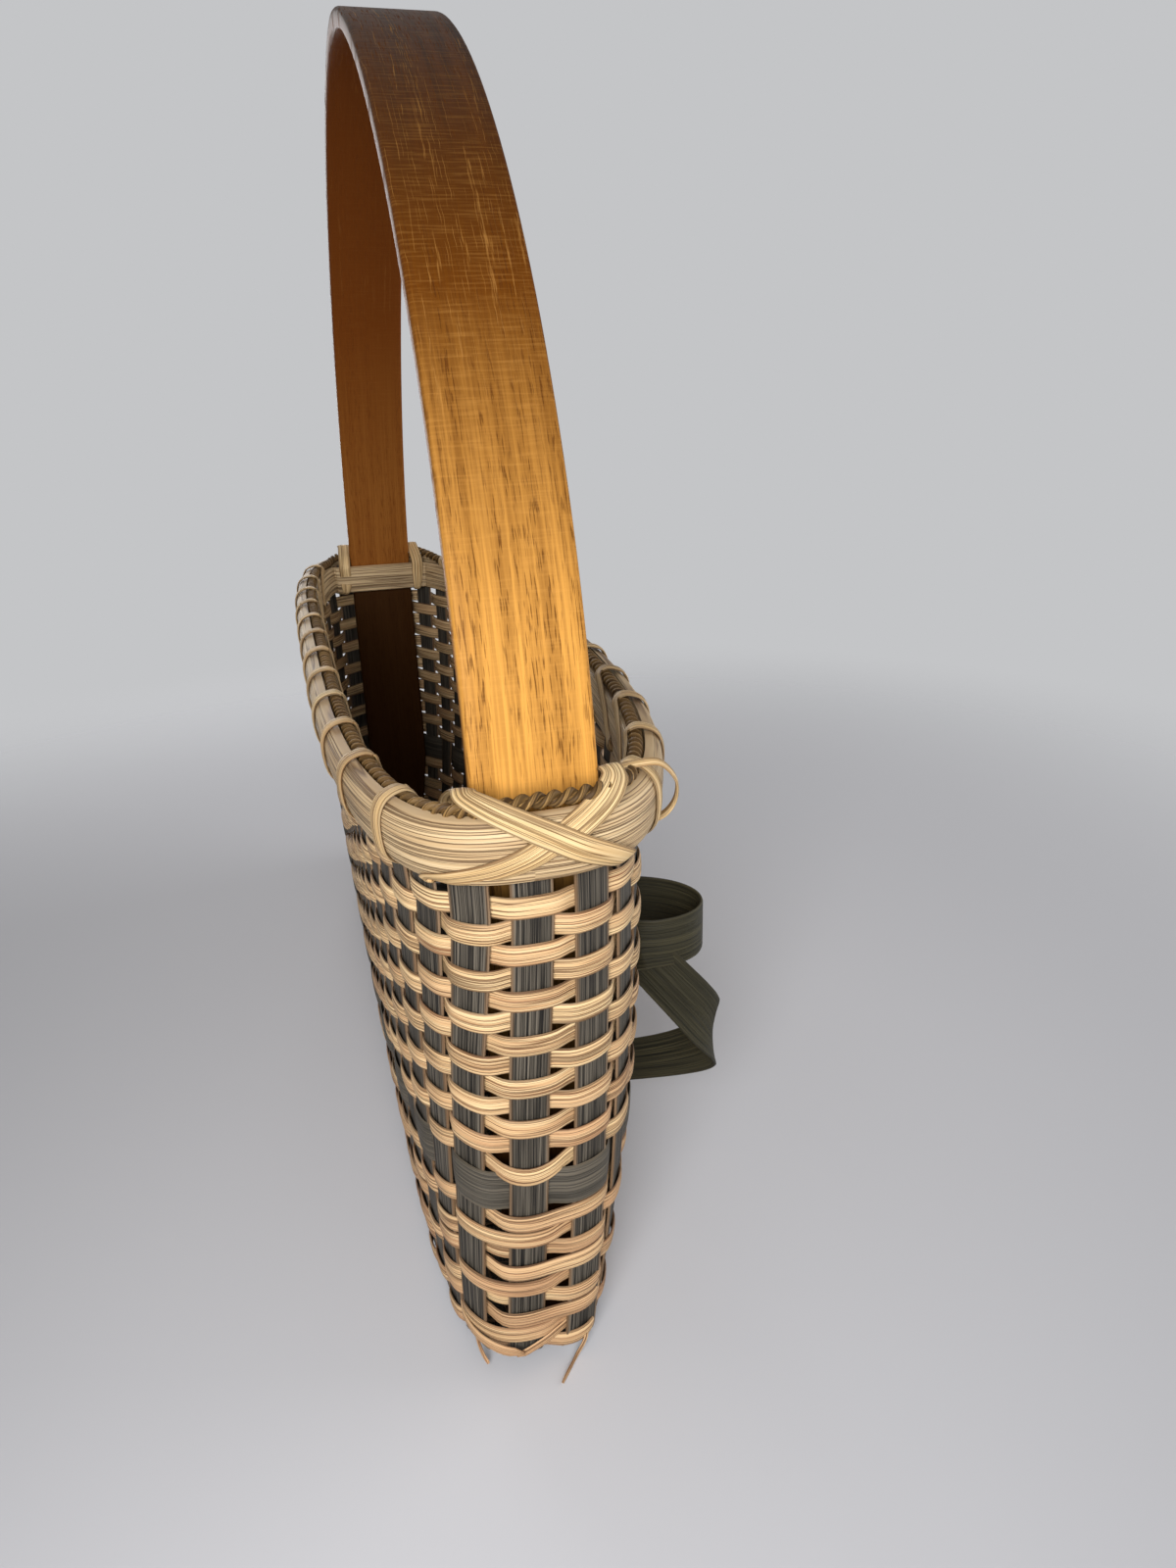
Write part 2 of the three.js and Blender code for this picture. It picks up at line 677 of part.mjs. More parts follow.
// A tie binds the rims and the handle's leg with a crossed strip: up from one side
// of the leg, over the top on the other side, back under and across itself
function tieSections() {
  const along = new THREE.Vector3(0, -1, 0);
  const turnUnder = (y, k) => {
    const underGap = rimPoint(k, 0, rimBottom - 3 * gap);
    const frame = rimFrame(k);
    const square = k > 0 ? along : frame.along;
    if (k > 0) underGap.y = y;
    return [
      {
        point: new THREE.Vector3(-tieInside, y, rimBottom - 2 * gap),
        out: new THREE.Vector3(0.7, 0, -0.7), across: along, narrow: tieNeck,
      },
      { point: underGap, out: new THREE.Vector3(0, 0, -1), across: square, narrow: tieNeck },
      {
        point: rimPoint(k, outerRimFace + outerRimThick / 2, rimBottom + 2.3 * gap),
        out: frame.out.clone().multiplyScalar(0.4).sub(up).normalize(), across: frame.along,
      },
    ];
  };
  const low = outerRimMiddle - rimCrownHeight / 2;
  const high = outerRimMiddle + rimCrownHeight / 2;
  const firstFaces = [[-1, -1], [-1, 1], [0, -1], [0, 1], [1, -1], [1, 1]];
  const secondFaces = [[1, 1], [1, -1], [0, 1], [0, -1], [-1, 1]];
  const lifted = lashThick + layerGap;
  const cross = (faces, liftFirst) => faces.map(([k, edge], i) => {
    const z = mix(low, high, i / (faces.length - 1));
    const lift = i > 0 && i < faces.length - 1 ? liftFirst : 0;
    return crossingStation(k, edge, z, lift);
  });
  const startY = tieSide;
  const stations = [
    { point: new THREE.Vector3(-tieInside, startY, rimBottom + outerRimHeight / 4), out: new THREE.Vector3(1, 0, 0), across: along },
    ...turnUnder(startY, -1.5),
    crossingStation(-1.5, 0, low - 2),
    ...cross(firstFaces, 0),
    ...overTheTop(-1, 0, [0.72, 0], [0.1, 4 * gap]),
    ...turnUnder(-(handleWidth + lashNeck + gap) / 2, 1.5),
    crossingStation(1.5, 0, low - 2),
    ...cross(secondFaces, lifted),
    ...overTheTop(1, lifted, [0.67, 3 * gap], [0.4, 4 * gap]),
  ];
  return stripAlong(stations, lashWidth, lashThick);
}

function addTies() {
  const near = tieSections();
  printSelfGap('handle_tie_near', near, 5);
  const far = near.map((points) => points.map((p) => new THREE.Vector3(-p.x, p.y, p.z)));
  addMesh('handle_tie_near', loft(near), colours.rimReed);
  addMesh('handle_tie_far', loft(far), colours.rimReed);
}

// Height over the wall of a ribbon that lies on the crowns of the woven rows
const ribbonSeat = outerSeat + weaverThick + gap + ribbonThick / 2;

// One loop of the bow, from its near root to its far one
function bowLoop({ nearStakes, farStakes, nearHeight, farHeight, reach, lean }) {
  const points = [];
  for (let i = 0; i <= bowSteps; i++) {
    const angle = Math.PI * i / bowSteps;
    const k = mix(nearStakes, farStakes, (1 - Math.cos(angle)) / 2);
    const part = i / bowSteps;
    const z = mix(nearHeight, farHeight, 1 - (1 - part) ** bowEase);
    const rootClear = mix(nearRootClear, farRootClear, part);
    const frame = wallFrame(k, z);
    const point = framePoint(frame, -lean * Math.sin(angle), 0);
    const away = new THREE.Vector3(frame.out.x, frame.out.y, 0).normalize();
    points.push(point.addScaledVector(away, ribbonSeat + rootClear + reach * Math.sin(angle)));
  }
  return points;
}

function addBow() {
  const profile = flatProfile(ribbonWidth, ribbonThick);
  // One end of the ribbon lies on the wall beyond its loop's far root
  const onWall = ({ farStakes, farHeight }, side) => [bowRunStakes, bowRunStakes / 3].map((along) => {
    const frame = wallFrame(farStakes + along, farHeight);
    const point = framePoint(frame, 0, ribbonSeat);
    return section(point, frame.up, frame.out.multiplyScalar(side), profile);
  });
  const path = [...bowLoop(bowUpper).reverse(), ...bowLoop(bowLower)];
  const loops = path.map((point, i) => {
    const before = path[Math.max(0, i - 1)];
    const after = path[Math.min(path.length - 1, i + 1)];
    const travel = after.clone().sub(before).normalize();
    const out = new THREE.Vector3().crossVectors(up, travel).normalize();
    return section(point, new THREE.Vector3().crossVectors(travel, out), out, profile);
  });
  const sections = [...onWall(bowUpper, 1), ...loops, ...onWall(bowLower, -1).reverse()];
  addMesh('front_bow', loft(sections), colours.dyed);
}

function addHandle() {
  const stations = [];
  for (const z of [legEnd, levels[1], legTaperHeight, levels[2], (levels[2] + archSpring) / 2]) {
    const taper = THREE.MathUtils.clamp((z - legEnd) / (legTaperHeight - legEnd), 0, 1);
    const half = mix(legTipWidth, handleWidth, taper) / 2;
    stations.push({ x: legFace(z, half) - handleThick / 2, z, half });
  }
  const arch = [];
  for (let i = 0; i <= archSteps; i++) arch.push({ ...archPoint(i), half: handleWidth / 2 });
  const path = [
    ...stations.map((s) => ({ ...s, x: -s.x })),
    ...arch,
    ...stations.reverse(),
  ];
  const y = new THREE.Vector3(0, 1, 0);
  const sections = path.map(({ x, z, half }, i) => {
    const before = path[Math.max(0, i - 1)];
    const after = path[Math.min(path.length - 1, i + 1)];
    const out = new THREE.Vector3(before.z - after.z, 0, after.x - before.x).normalize();
    const t = handleThick / 2;
    const c = handleChamfer;
    const profile = [
      [-half + c, -t], [half - c, -t], [half, -t + c], [half, t - c],
      [half - c, t], [-half + c, t], [-half, t - c], [-half, -t + c],
    ];
    return section(new THREE.Vector3(x, 0, z), y, out, profile);
  });
  addMesh('handle', loft(sections), colours.oak);
}

addHandle();
addStakes();
addWeaving();
addOuterRim();
addInnerRim();
addRope();
addLashing('rim_lashing_front', 2.5, 2);
addLashing('rim_lashing_back', stakeEnds - 2.5, -2);
addTies();
addBow();

// The origin lies under the middle of the whole object
const whole = new THREE.Box3().setFromObject(basket);
const aside = -(whole.min.y + whole.max.y) / 2;
for (const mesh of basket.children) mesh.geometry.translate(0, aside, 0);

export default basket;
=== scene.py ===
"""Door hanging basket: reed woven round dyed stakes, on a bent wooden handle.

Sizes are in millimetres as on the maker's drawing and become metres when a mesh
is made. X runs along the door, the bow is on the front at -Y, +Z is up.
"""

import logging
import math
from collections.abc import Callable, Sequence
from dataclasses import dataclass, field
from enum import Enum
from functools import cache
from typing import NamedTuple

import bpy
import numpy as np
from mathutils import Matrix, Vector


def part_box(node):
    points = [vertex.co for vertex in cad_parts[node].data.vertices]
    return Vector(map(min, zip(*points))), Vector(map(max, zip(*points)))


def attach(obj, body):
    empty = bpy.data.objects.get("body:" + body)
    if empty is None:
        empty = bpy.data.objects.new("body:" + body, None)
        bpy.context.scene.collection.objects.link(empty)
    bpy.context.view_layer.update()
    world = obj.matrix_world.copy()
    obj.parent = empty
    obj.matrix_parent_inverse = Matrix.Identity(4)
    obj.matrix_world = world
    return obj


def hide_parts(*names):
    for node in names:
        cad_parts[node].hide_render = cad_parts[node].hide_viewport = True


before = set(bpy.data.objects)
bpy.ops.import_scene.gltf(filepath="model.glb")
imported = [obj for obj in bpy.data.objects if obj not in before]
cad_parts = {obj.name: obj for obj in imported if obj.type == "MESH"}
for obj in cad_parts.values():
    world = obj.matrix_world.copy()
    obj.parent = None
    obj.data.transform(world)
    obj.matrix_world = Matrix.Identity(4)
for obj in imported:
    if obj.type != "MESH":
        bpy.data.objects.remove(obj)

logging.basicConfig(level=logging.INFO, format="%(message)s")
log = logging.getLogger("basket")

BODY = "root"
MIDDLE_Y = float(sum(corner[1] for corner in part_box("handle")) / 2)
STAKE_ENDS = 56
FAR_END = 28
GAP = 0.3
STAKE_THICK = 0.9
REED_THICK = 0.8
UP = np.array([0, 0, 1.0])
LEVEL = np.array([1, 1, 0])
SCREEN_KNEE, SCREEN_SLOPE, SCREEN_OFFSET, SCREEN_POWER = 0.04045, 12.92, 0.055, 2.4
FEWEST_STEPS = 4
ROUNDING_SAMPLES = 7

Colour = tuple[int, int, int]
Range = tuple[float, float]
Table = tuple[tuple[float, ...], ...]


# ---- shader expressions ------------------------------------------------------


class Value:
    """A node socket that takes part in arithmetic."""

    def __init__(self, tree: "Nodes", socket: bpy.types.NodeSocket) -> None:
        """Keeps the socket and the tree that it belongs to."""
        self.tree = tree
        self.socket = socket

    def _math(self, operation: str, first: object, second: object) -> "Value":
        """Adds one Math node for two values or numbers."""
        return self.tree.node("ShaderNodeMath", {"operation": operation}, {0: first, 1: second})

    def __add__(self, other: object) -> "Value":
        """Adds."""
        return self._math("ADD", self, other)

    def __radd__(self, other: object) -> "Value":
        """Adds to a number."""
        return self._math("ADD", other, self)

    def __sub__(self, other: object) -> "Value":
        """Subtracts."""
        return self._math("SUBTRACT", self, other)

    def __rsub__(self, other: object) -> "Value":
        """Subtracts from a number."""
        return self._math("SUBTRACT", other, self)

    def __mul__(self, other: object) -> "Value":
        """Multiplies."""
        return self._math("MULTIPLY", self, other)

    def __rmul__(self, other: object) -> "Value":
        """Multiplies a number."""
        return self._math("MULTIPLY", other, self)

    def __abs__(self) -> "Value":
        """Takes the size without the sign."""
        return self._math("ABSOLUTE", self, 0.0)


@dataclass(frozen=True)
class Grain:
    """Noise along and across a strip: spots a metre, where it starts, layers."""

    along: float
    across: float
    start: float
    layers: float = 1.0


def tone(colour: Colour) -> tuple[float, float, float, float]:
    """Turns a paint colour as seen on screen into the shader's own scale.

    Args:
        colour: Red, green and blue from 0 to 255.

    Returns:
        The linear colour with full cover.
    """
    parts = [c / 255 for c in colour]
    curve = [((p + SCREEN_OFFSET) / (1 + SCREEN_OFFSET)) ** SCREEN_POWER for p in parts]
    return (*(p / SCREEN_SLOPE if p <= SCREEN_KNEE else c for p, c in zip(parts, curve)), 1.0)


class Nodes:
    """A tree of nodes that ends in one surface."""

    def __init__(self, tree: bpy.types.NodeTree, output: str) -> None:
        """Empties a tree and gives it its output.

        Args:
            tree: The tree.
            output: The output node's type.
        """
        self.nodes, self.links = tree.nodes, tree.links
        self.nodes.clear()
        self.surface = self.nodes.new(output).inputs["Surface"]

    def show(self, surface: Value) -> None:
        """Shows a surface."""
        self.links.new(surface.socket, self.surface)

    def node(self, kind: str, settings: dict, inputs: dict, output: object = 0) -> Value:
        """Adds any node.

        Args:
            kind: The node's type.
            settings: Its settings, and a ramp's stops under "stops".
            inputs: Numbers, colours or values for its sockets.
            output: The socket to go on with.

        Returns:
            That output.
        """
        made = self.nodes.new(kind)
        for key, setting in settings.items():
            if key != "stops":
                setattr(made, key, setting)
                continue
            ramp = made.color_ramp.elements
            for place, colour in setting[1:-1]:
                ramp.new(place).color = tone(colour)
            for end in (0, -1):
                ramp[end].position, ramp[end].color = setting[end][0], tone(setting[end][1])
        self.fill(made, inputs)
        return Value(self, made.outputs[output])

    def fill(self, made: bpy.types.Node, inputs: dict) -> None:
        """Fills a node's sockets.

        Args:
            made: The node.
            inputs: Numbers, colours or values for its sockets.
        """
        for key, value in inputs.items():
            if isinstance(value, Value):
                self.links.new(value.socket, made.inputs[key])
            else:
                made.inputs[key].default_value = value

    def parts(self, source: Value) -> tuple[Value, Value, Value]:
        """Splits a vector into its three parts.

        Args:
            source: The vector.

        Returns:
            Its x, y and z.
        """
        split = self.nodes.new("ShaderNodeSeparateXYZ")
        self.links.new(source.socket, split.inputs[0])
        return tuple(Value(self, socket) for socket in split.outputs)

    def grain(self, kind: Grain, along: Value, across: Value, bend: Value | None = None) -> Value:
        """Noise that follows a strip.

        Args:
            kind: Its spots.
            along: Places along the strip in metres.
            across: Places across it.
            bend: How far its lines wander, in spots.

        Returns:
            A value about 0.5.
        """
        side = across * kind.across if kind.across else 0.0
        side = side if bend is None else side + bend
        place = self.node("ShaderNodeCombineXYZ", {}, {0: along * kind.along, 1: side, 2: kind.start})
        return self.node("ShaderNodeTexNoise", {}, {"Vector": place, "Scale": 1.0, "Detail": kind.layers})

    def spread(self, value: Value, low: float, high: float) -> Value:
        """Stretches a value so that low becomes 0 and high becomes 1."""
        inputs = {"Value": value, "From Min": low, "From Max": high}
        return self.node("ShaderNodeMapRange", {"clamp": True}, inputs)

    def blend(self, part: Value, paint: Value, colour: Colour) -> Value:
        """Mixes a part of a colour into a paint."""
        return self.node("ShaderNodeMix", {"data_type": "RGBA"}, {0: part, 6: paint, 7: tone(colour)}, 2)

    def relief(self, height: Value, depth: float) -> Value:
        """Turns a height from 0 to 1 into a normal, bumped by a depth in metres."""
        return self.node("ShaderNodeBump", {}, {"Strength": 1.0, "Distance": depth, "Height": height})


class Finish(Nodes):
    """A material with one shader."""

    def __init__(self, name: str) -> None:
        """Starts the material.

        Args:
            name: Its name.
        """
        self.material = bpy.data.materials.new(name)
        self.material.use_nodes = True
        super().__init__(self.material.node_tree, "ShaderNodeOutputMaterial")
        self.shader = self.nodes.new("ShaderNodeBsdfPrincipled")
        self.show(Value(self, self.shader.outputs[0]))

    def feed(self, **sockets: object) -> None:
        """Fills the shader's sockets, with spaces in their names as underscores."""
        self.fill(self.shader, {key.replace("_", " "): value for key, value in sockets.items()})


# ---- finishes ----------------------------------------------------------------


@dataclass(frozen=True)
class Reed:
    """Split reed: fine fibres along the strip, tone that drifts, edges of another tone: paler cut edges on dyed reed,
    and on the others darker edges that are partly stain and partly painted shade where the strips meet.
    """

    name: str
    dark: Colour
    middle: Colour
    pale: Colour
    drift: Colour
    half_width: float
    edge: Colour
    edge_part: float = 0.25
    drift_part: float = 0.5
    streaks: float = 0.0
    crack_part: float = 0.6
    low_tint_part: float = 0.0
    roughness: float = 0.55
    fibres: Grain = Grain(26, 2700, 0, 2)
    veins: Grain = Grain(9, 1150, 7, 2)
    patches: Grain = Grain(16, 90, 3, 3)
    lengths: Grain = Grain(5, 0, 17)
    streak_lines: Grain = Grain(7, 1700, 11)
    fibre_part: float = 0.68
    middle_stop: float = 0.3
    line_range: Range = (0.36, 0.62)
    patch_range: Range = (0.38, 0.72)
    length_range: Range = (0.45, 0.8)
    length_part: float = 0.35
    foot_heights: Range = (0.01, 0.12)
    foot_range: Range = (0.2, 0.6)
    crack_range: Range = (0.004, 0.04)
    streak_range: Range = (0.58, 0.68)
    edge_range: Range = (0.00086, 0.00104)
    edge_waver: float = 0.0005
    gloss_range: Range = (0.2, 0.8)
    gloss_span: float = 0.2
    crack_depth: float = 0.4
    depth: float = 0.0004
    shine: float = 0.2

    @cache
    def build(self) -> bpy.types.Material:
        """Makes the material, once.

        Returns:
            The material.
        """
        finish = Finish(self.name)
        along, across, _ = finish.parts(finish.node("ShaderNodeUVMap", {}, {}))
        kinds = (self.fibres, self.veins, self.patches, self.lengths)
        fibre, vein, patch, length = (finish.grain(kind, along, across) for kind in kinds)
        _, _, z = finish.parts(finish.node("ShaderNodeTexCoord", {}, {}, "Object"))
        # Darker, pinker tone in patches towards the foot of the wall.
        low_tint = (1 - finish.spread(z, *self.foot_heights)) * finish.spread(patch, *self.foot_range)
        crack = 1 - finish.spread(abs(vein - 0.5), *self.crack_range)
        # Edge tone: on natural reed, rims, lashing and rope the darker edges are partly stain and partly painted shade
        # where strips meet; on dyed strips they are paler cut edges.
        edge_from, edge_to = (self.half_width * part for part in self.edge_range)
        edge = finish.spread(abs(across) + fibre * self.edge_waver, edge_from, edge_to)
        layers = [
            (finish.spread(patch, *self.patch_range) * self.drift_part, self.drift),
            (finish.spread(length, *self.length_range) * self.length_part, self.drift),
            (low_tint * self.low_tint_part, self.drift),
            (crack * self.crack_part, self.dark),
            (edge * self.edge_part, self.edge),
        ]
        if self.streaks:
            streak = finish.spread(finish.grain(self.streak_lines, along, across), *self.streak_range)
            layers.insert(-1, (streak * self.streaks, self.pale))
        lines = finish.spread(fibre * self.fibre_part + vein * (1 - self.fibre_part), *self.line_range)
        stops = [(0.0, self.dark), (self.middle_stop, self.middle), (1.0, self.pale)]
        paint = finish.node("ShaderNodeValToRGB", {"stops": stops}, {0: lines})
        for part, colour in layers:
            paint = finish.blend(part, paint, colour)
        gloss = finish.spread(fibre, *self.gloss_range) * self.gloss_span
        finish.feed(
            Base_Color=paint,
            Roughness=gloss + (self.roughness - self.gloss_span / 2),
            Normal=finish.relief(fibre * 0.5 + vein * 0.5 - crack * self.crack_depth, self.depth),
            Specular_IOR_Level=self.shine,
        )
        return finish.material


@dataclass(frozen=True)
class Varnish:
    """Bent hardwood under a satin varnish, browner towards the top of the arch: partly the wood's tone, partly painted
    shade where the arch's top turns up away from the light.
    """

    name: str
    low: Colour
    mid: Colour
    top: Colour
    # inside: painted shade for the hoop's inner face, which turns away from the light.
    inside: Colour
    pore: Colour
    shade: Colour
    fleck: Colour
    waves: Grain = Grain(9, 260, 2, 2)
    fibres: Grain = Grain(18, 1200, 5, 3)
    pores: Grain = Grain(150, 2400, 9)
    flames: Grain = Grain(7, 420, 12)
    flame_bends: Grain = Grain(170, 60, 6)
    curls: Grain = Grain(1500, 90, 1, 3)
    scratches: Grain = Grain(1500, 45, 4)
    arch_tone_and_shade_heights: Range = (0.15, 0.362)
    stops: tuple[float, float, float] = (0.24, 0.6, 0.92)
    band_range: Range = (0.4, 0.66)
    band_part: float = 0.35
    fibre_range: Range = (0.42, 0.6)
    fibre_part: float = 0.3
    pore_range: Range = (0.57, 0.66)
    pore_bands: Range = (0.34, 0.56)
    pore_part: float = 0.75
    flame_bend: float = 0.45
    flame_range: Range = (0.0, 0.014)
    flame_dashes: Range = (0.42, 0.58)
    flame_heights: Range = (0.19, 0.28)
    flame_part: float = 0.3
    curl_range: Range = (0.48, 0.7)
    curl_heights: Range = (0.2, 0.34)
    curl_low_part: float = 0.2
    curl_lost: float = 0.13
    inner_face_shade_part: float = 0.8
    shade_heights: Range = (0.152, 0.166)
    shade_part: float = 0.85
    scratch_range: Range = (0.5, 0.8)
    roughness: float = 0.42
    pore_roughness: float = 0.25
    scratch_roughness: float = 0.12
    relief_parts: tuple[float, float, float] = (0.7, 0.2, 0.1)
    depth: float = 0.00012
    coat: float = 0.03
    coat_roughness: float = 0.25
    shine: float = 0.02

    @cache
    def build(self) -> bpy.types.Material:
        """Makes the material, once.

        Returns:
            The material.
        """
        finish = Finish(self.name)
        along, across, _ = finish.parts(finish.node("ShaderNodeUVMap", {}, {}))
        _, _, z = finish.parts(finish.node("ShaderNodeTexCoord", {}, {}, "Object"))
        kinds = (self.waves, self.fibres, self.pores, self.curls, self.scratches)
        wave, fibre, pores, curl, scratch = (finish.grain(kind, along, across) for kind in kinds)
        bend = finish.grain(self.flame_bends, along, across) * self.flame_bend
        flame = finish.grain(self.flames, along, across, bend)
        cut = finish.spread(pores, *self.pore_range) * finish.spread(wave, *self.pore_bands)
        line = 1 - finish.spread(abs(flame - 0.5), *self.flame_range)
        line = line * finish.spread(pores, *self.flame_dashes) * finish.spread(z, *self.flame_heights)
        fewer = self.curl_low_part - finish.spread(z, *self.curl_heights) * self.curl_lost
        face = finish.node("ShaderNodeAttribute", {"attribute_name": "inside"}, {}, "Fac")
        layers = [
            (finish.spread(wave, *self.band_range) * self.band_part, self.mid),
            ((1 - finish.spread(fibre, *self.fibre_range)) * self.fibre_part, self.pore),
            (cut * self.pore_part, self.pore),
            (line * self.flame_part, self.fleck),
            (finish.spread(curl, *self.curl_range) * fewer, self.fleck),
            # Painted shade: the hoop's inner face is painted one even reddish brown, as it is seen in shade.
            (face * self.inner_face_shade_part, self.inside),
            ((1 - finish.spread(z, *self.shade_heights)) * self.shade_part, self.shade),
        ]
        # The ramp from low to top is partly the wood's tone and partly painted shade, darkest where the arch's top
        # faces up, away from the light.
        stops = list(zip((0.0, *self.stops), (self.low, self.low, self.mid, self.top)))
        paint = finish.node("ShaderNodeValToRGB", {"stops": stops}, {0: finish.spread(z, *self.arch_tone_and_shade_heights)})
        for part, colour in layers:
            paint = finish.blend(part, paint, colour)
        scuffs = finish.spread(scratch, *self.scratch_range) * self.scratch_roughness
        whole, fine, finest = self.relief_parts
        finish.feed(
            Base_Color=paint,
            Roughness=self.roughness + cut * self.pore_roughness + scuffs,
            Normal=finish.relief((1 - cut) * whole + fibre * fine + scratch * finest, self.depth),
            Coat_Weight=self.coat,
            Coat_Roughness=self.coat_roughness,
            Specular_IOR_Level=self.shine,
        )
        return finish.material


# NATURAL's dark edges (edge_part 0.75) are partly painted shade between the rows.
NATURAL = Reed(
    "natural_reed_finish", (86, 55, 31), (200, 164, 118), (236, 210, 162), (178, 128, 92), 2.85, (72, 46, 28),
    edge_part=0.75, crack_part=0.85, low_tint_part=0.55,
)
RIM = Reed(
    "rim_reed_finish", (84, 60, 38), (188, 160, 120), (220, 196, 156), (156, 122, 86), 8.0, (108, 78, 50),
    edge_part=0.3, crack_part=0.85,
)
LASH = Reed(
    "lash_reed_finish", (104, 72, 40), (200, 168, 118), (226, 202, 156), (186, 144, 96), 2.8, (96, 66, 38),
    edge_part=0.55, crack_part=0.8,
)
DYED = Reed(
    "dyed_reed_finish", (17, 15, 14), (48, 44, 38), (108, 100, 88), (38, 34, 30), 5.0, (156, 122, 88),
    edge_part=0.45, streaks=0.55, crack_part=0.85, roughness=0.62,
)
OLIVE = Reed(
    "olive_reed_finish", (40, 37, 32), (74, 69, 61), (106, 97, 84), (66, 62, 54), 6.3, (104, 90, 70),
    edge_part=0.4, drift_part=0.4, streaks=0.3, crack_part=0.7, roughness=0.6,
)
RIBBON = Reed(
    "ribbon_finish", (18, 18, 12), (45, 42, 29), (68, 63, 44), (34, 33, 23), 8.0, (58, 52, 36),
    edge_part=0.3, streaks=0.2, crack_part=0.5, roughness=0.6,
)
SEAGRASS = Reed(
    "seagrass_finish", (52, 34, 17), (112, 82, 44), (172, 136, 84), (92, 70, 34), 1.08, (50, 34, 18),
    edge_part=0.6, drift_part=0.6,
)
# OAK's low, mid and top colours grade into painted shade towards the arch's top; the wood there is only partly that
# brown.
OAK = Varnish(
    "oak_finish", (206, 148, 70), (98, 54, 11), (26, 15, 8), (112, 58, 20), (82, 44, 14), (28, 18, 10), (206, 150, 78)
)


# ---- paths -------------------------------------------------------------------


def unit(vectors: np.ndarray) -> np.ndarray:
    """Brings vectors to length 1."""
    return vectors / np.linalg.norm(vectors, axis=-1, keepdims=True)


def square_to(vectors: np.ndarray, ways: np.ndarray) -> np.ndarray:
    """Turns vectors square to directions of length 1."""
    return unit(vectors - ways * np.sum(vectors * ways, axis=-1, keepdims=True))


def headings(path: np.ndarray) -> np.ndarray:
    """Gives a path's direction at each of its points."""
    return unit(np.gradient(path, axis=0))


def run_length(points: np.ndarray) -> np.ndarray:
    """Gives how far along a path each of its points lies."""
    return np.concatenate([[0.0], np.cumsum(np.linalg.norm(np.diff(points, axis=0), axis=1))])


def between(where: object, marks: Sequence[float], rows: object) -> np.ndarray:
    """Reads rows of values at places between their marks."""
    return np.stack([np.interp(where, marks, column) for column in np.array(rows).T], axis=-1)


def look_up(place: object, table: Table) -> np.ndarray:
    """Reads a table of places and values."""
    return np.interp(place, *np.array(table, float).T)


def hump(place: object, middle: float, reach: float) -> np.ndarray:
    """A smooth hump of height 1 about a middle."""
    return np.exp(-(((place - middle) / reach) ** 2))


def untwist(sides: np.ndarray, *others: np.ndarray) -> None:
    """Turns width directions that flip from one point to the next.

    Args:
        sides: The width directions, which are changed.
        others: Directions that turn with them.
    """
    for i in range(1, len(sides)):
        if np.dot(sides[i], sides[i - 1]) < 0:
            for rows in (sides, *others):
                rows[i] = -rows[i]


def through(points: np.ndarray, steps: int, closed: bool = False) -> np.ndarray:
    """Draws a smooth curve through points.

    Args:
        points: The points, or other values in rows.
        steps: Steps from each to the next.
        closed: Whether it comes back to its start.

    Returns:
        The rows of the curve.
    """
    if closed:
        padded = np.concatenate([points[-1:], points, points[:2]])
    else:
        padded = np.concatenate([2 * points[:1] - points[1:2], points, 2 * points[-1:] - points[-2:-1]])
    rows = []
    for i in range(len(padded) - 3):
        a, b, c, d = padded[i : i + 4]
        for t in (step / steps for step in range(steps)):
            bent = (2 * a - 5 * b + 4 * c - d) * t * t + (3 * b - a - 3 * c + d) * t**3
            rows.append(0.5 * (2 * b + (c - a) * t + bent))
    return np.array(rows if closed else [*rows, points[-1]])


def rounded(points: np.ndarray, step: float, reach: float) -> tuple[np.ndarray, np.ndarray]:
    """Follows a cornered line with its corners rounded off.

    Args:
        points: The line's corners.
        step: The distance from one result to the next.
        reach: How far a corner's rounding reaches.

    Returns:
        The points, and where each lies between the corners.
    """
    lengths = run_length(points)
    end = lengths[-1]
    places = np.linspace(0, end, max(FEWEST_STEPS, int(end / step)) + 1)
    room = np.minimum(1, np.minimum(places, end - places) / reach)
    shifts = np.linspace(-reach, reach, ROUNDING_SAMPLES)
    samples = [between(np.clip(places + shift * room, 0, end), lengths, points) for shift in shifts]
    return np.mean(samples, axis=0), np.interp(places, lengths, np.arange(len(points)))


class Cut(Enum):
    """The section that a strip is cut to."""

    OVAL = "oval"
    FLAT = "flat"
    ROUND = "round"


def section(cut: Cut, width: float, thick: float) -> np.ndarray:
    """Draws a strip's section, middled on its path.

    Args:
        cut: The shape.
        width: Its width.
        thick: Its thickness.

    Returns:
        Points across and out, in order round it.
    """
    w, t = width / 2, thick / 2
    if cut is Cut.OVAL:
        brow, foot = 0.35, 0.82
        crown = [(-w * math.cos(a), -brow * t + (1 + brow) * t * math.sin(a)) for a in np.linspace(0, math.pi, 7)]
        return np.array([*crown, (w * foot, -t), (0, -t), (-w * foot, -t)])
    if cut is Cut.FLAT:
        face = w * 0.92
        edges = [(-w, -t / 2), (-w, t / 2), (-face, t), (face, t), (w, t / 2), (w, -t / 2), (face, -t), (-face, -t)]
        return np.array(edges)
    return np.array([(w * math.sin(a), t * math.cos(a)) for a in np.linspace(0, 2 * math.pi, 8, endpoint=False)])


# ---- the wall ----------------------------------------------------------------


class Plan(NamedTuple):
    """The wall's plan at a height: sizes and how square its front and back are."""

    half_length: float
    front: float
    back: float
    front_power: float
    back_power: float


class Ways(NamedTuple):
    """Points of the wall with their directions along the row, up and out."""

    point: np.ndarray
    along: np.ndarray
    up: np.ndarray
    out: np.ndarray


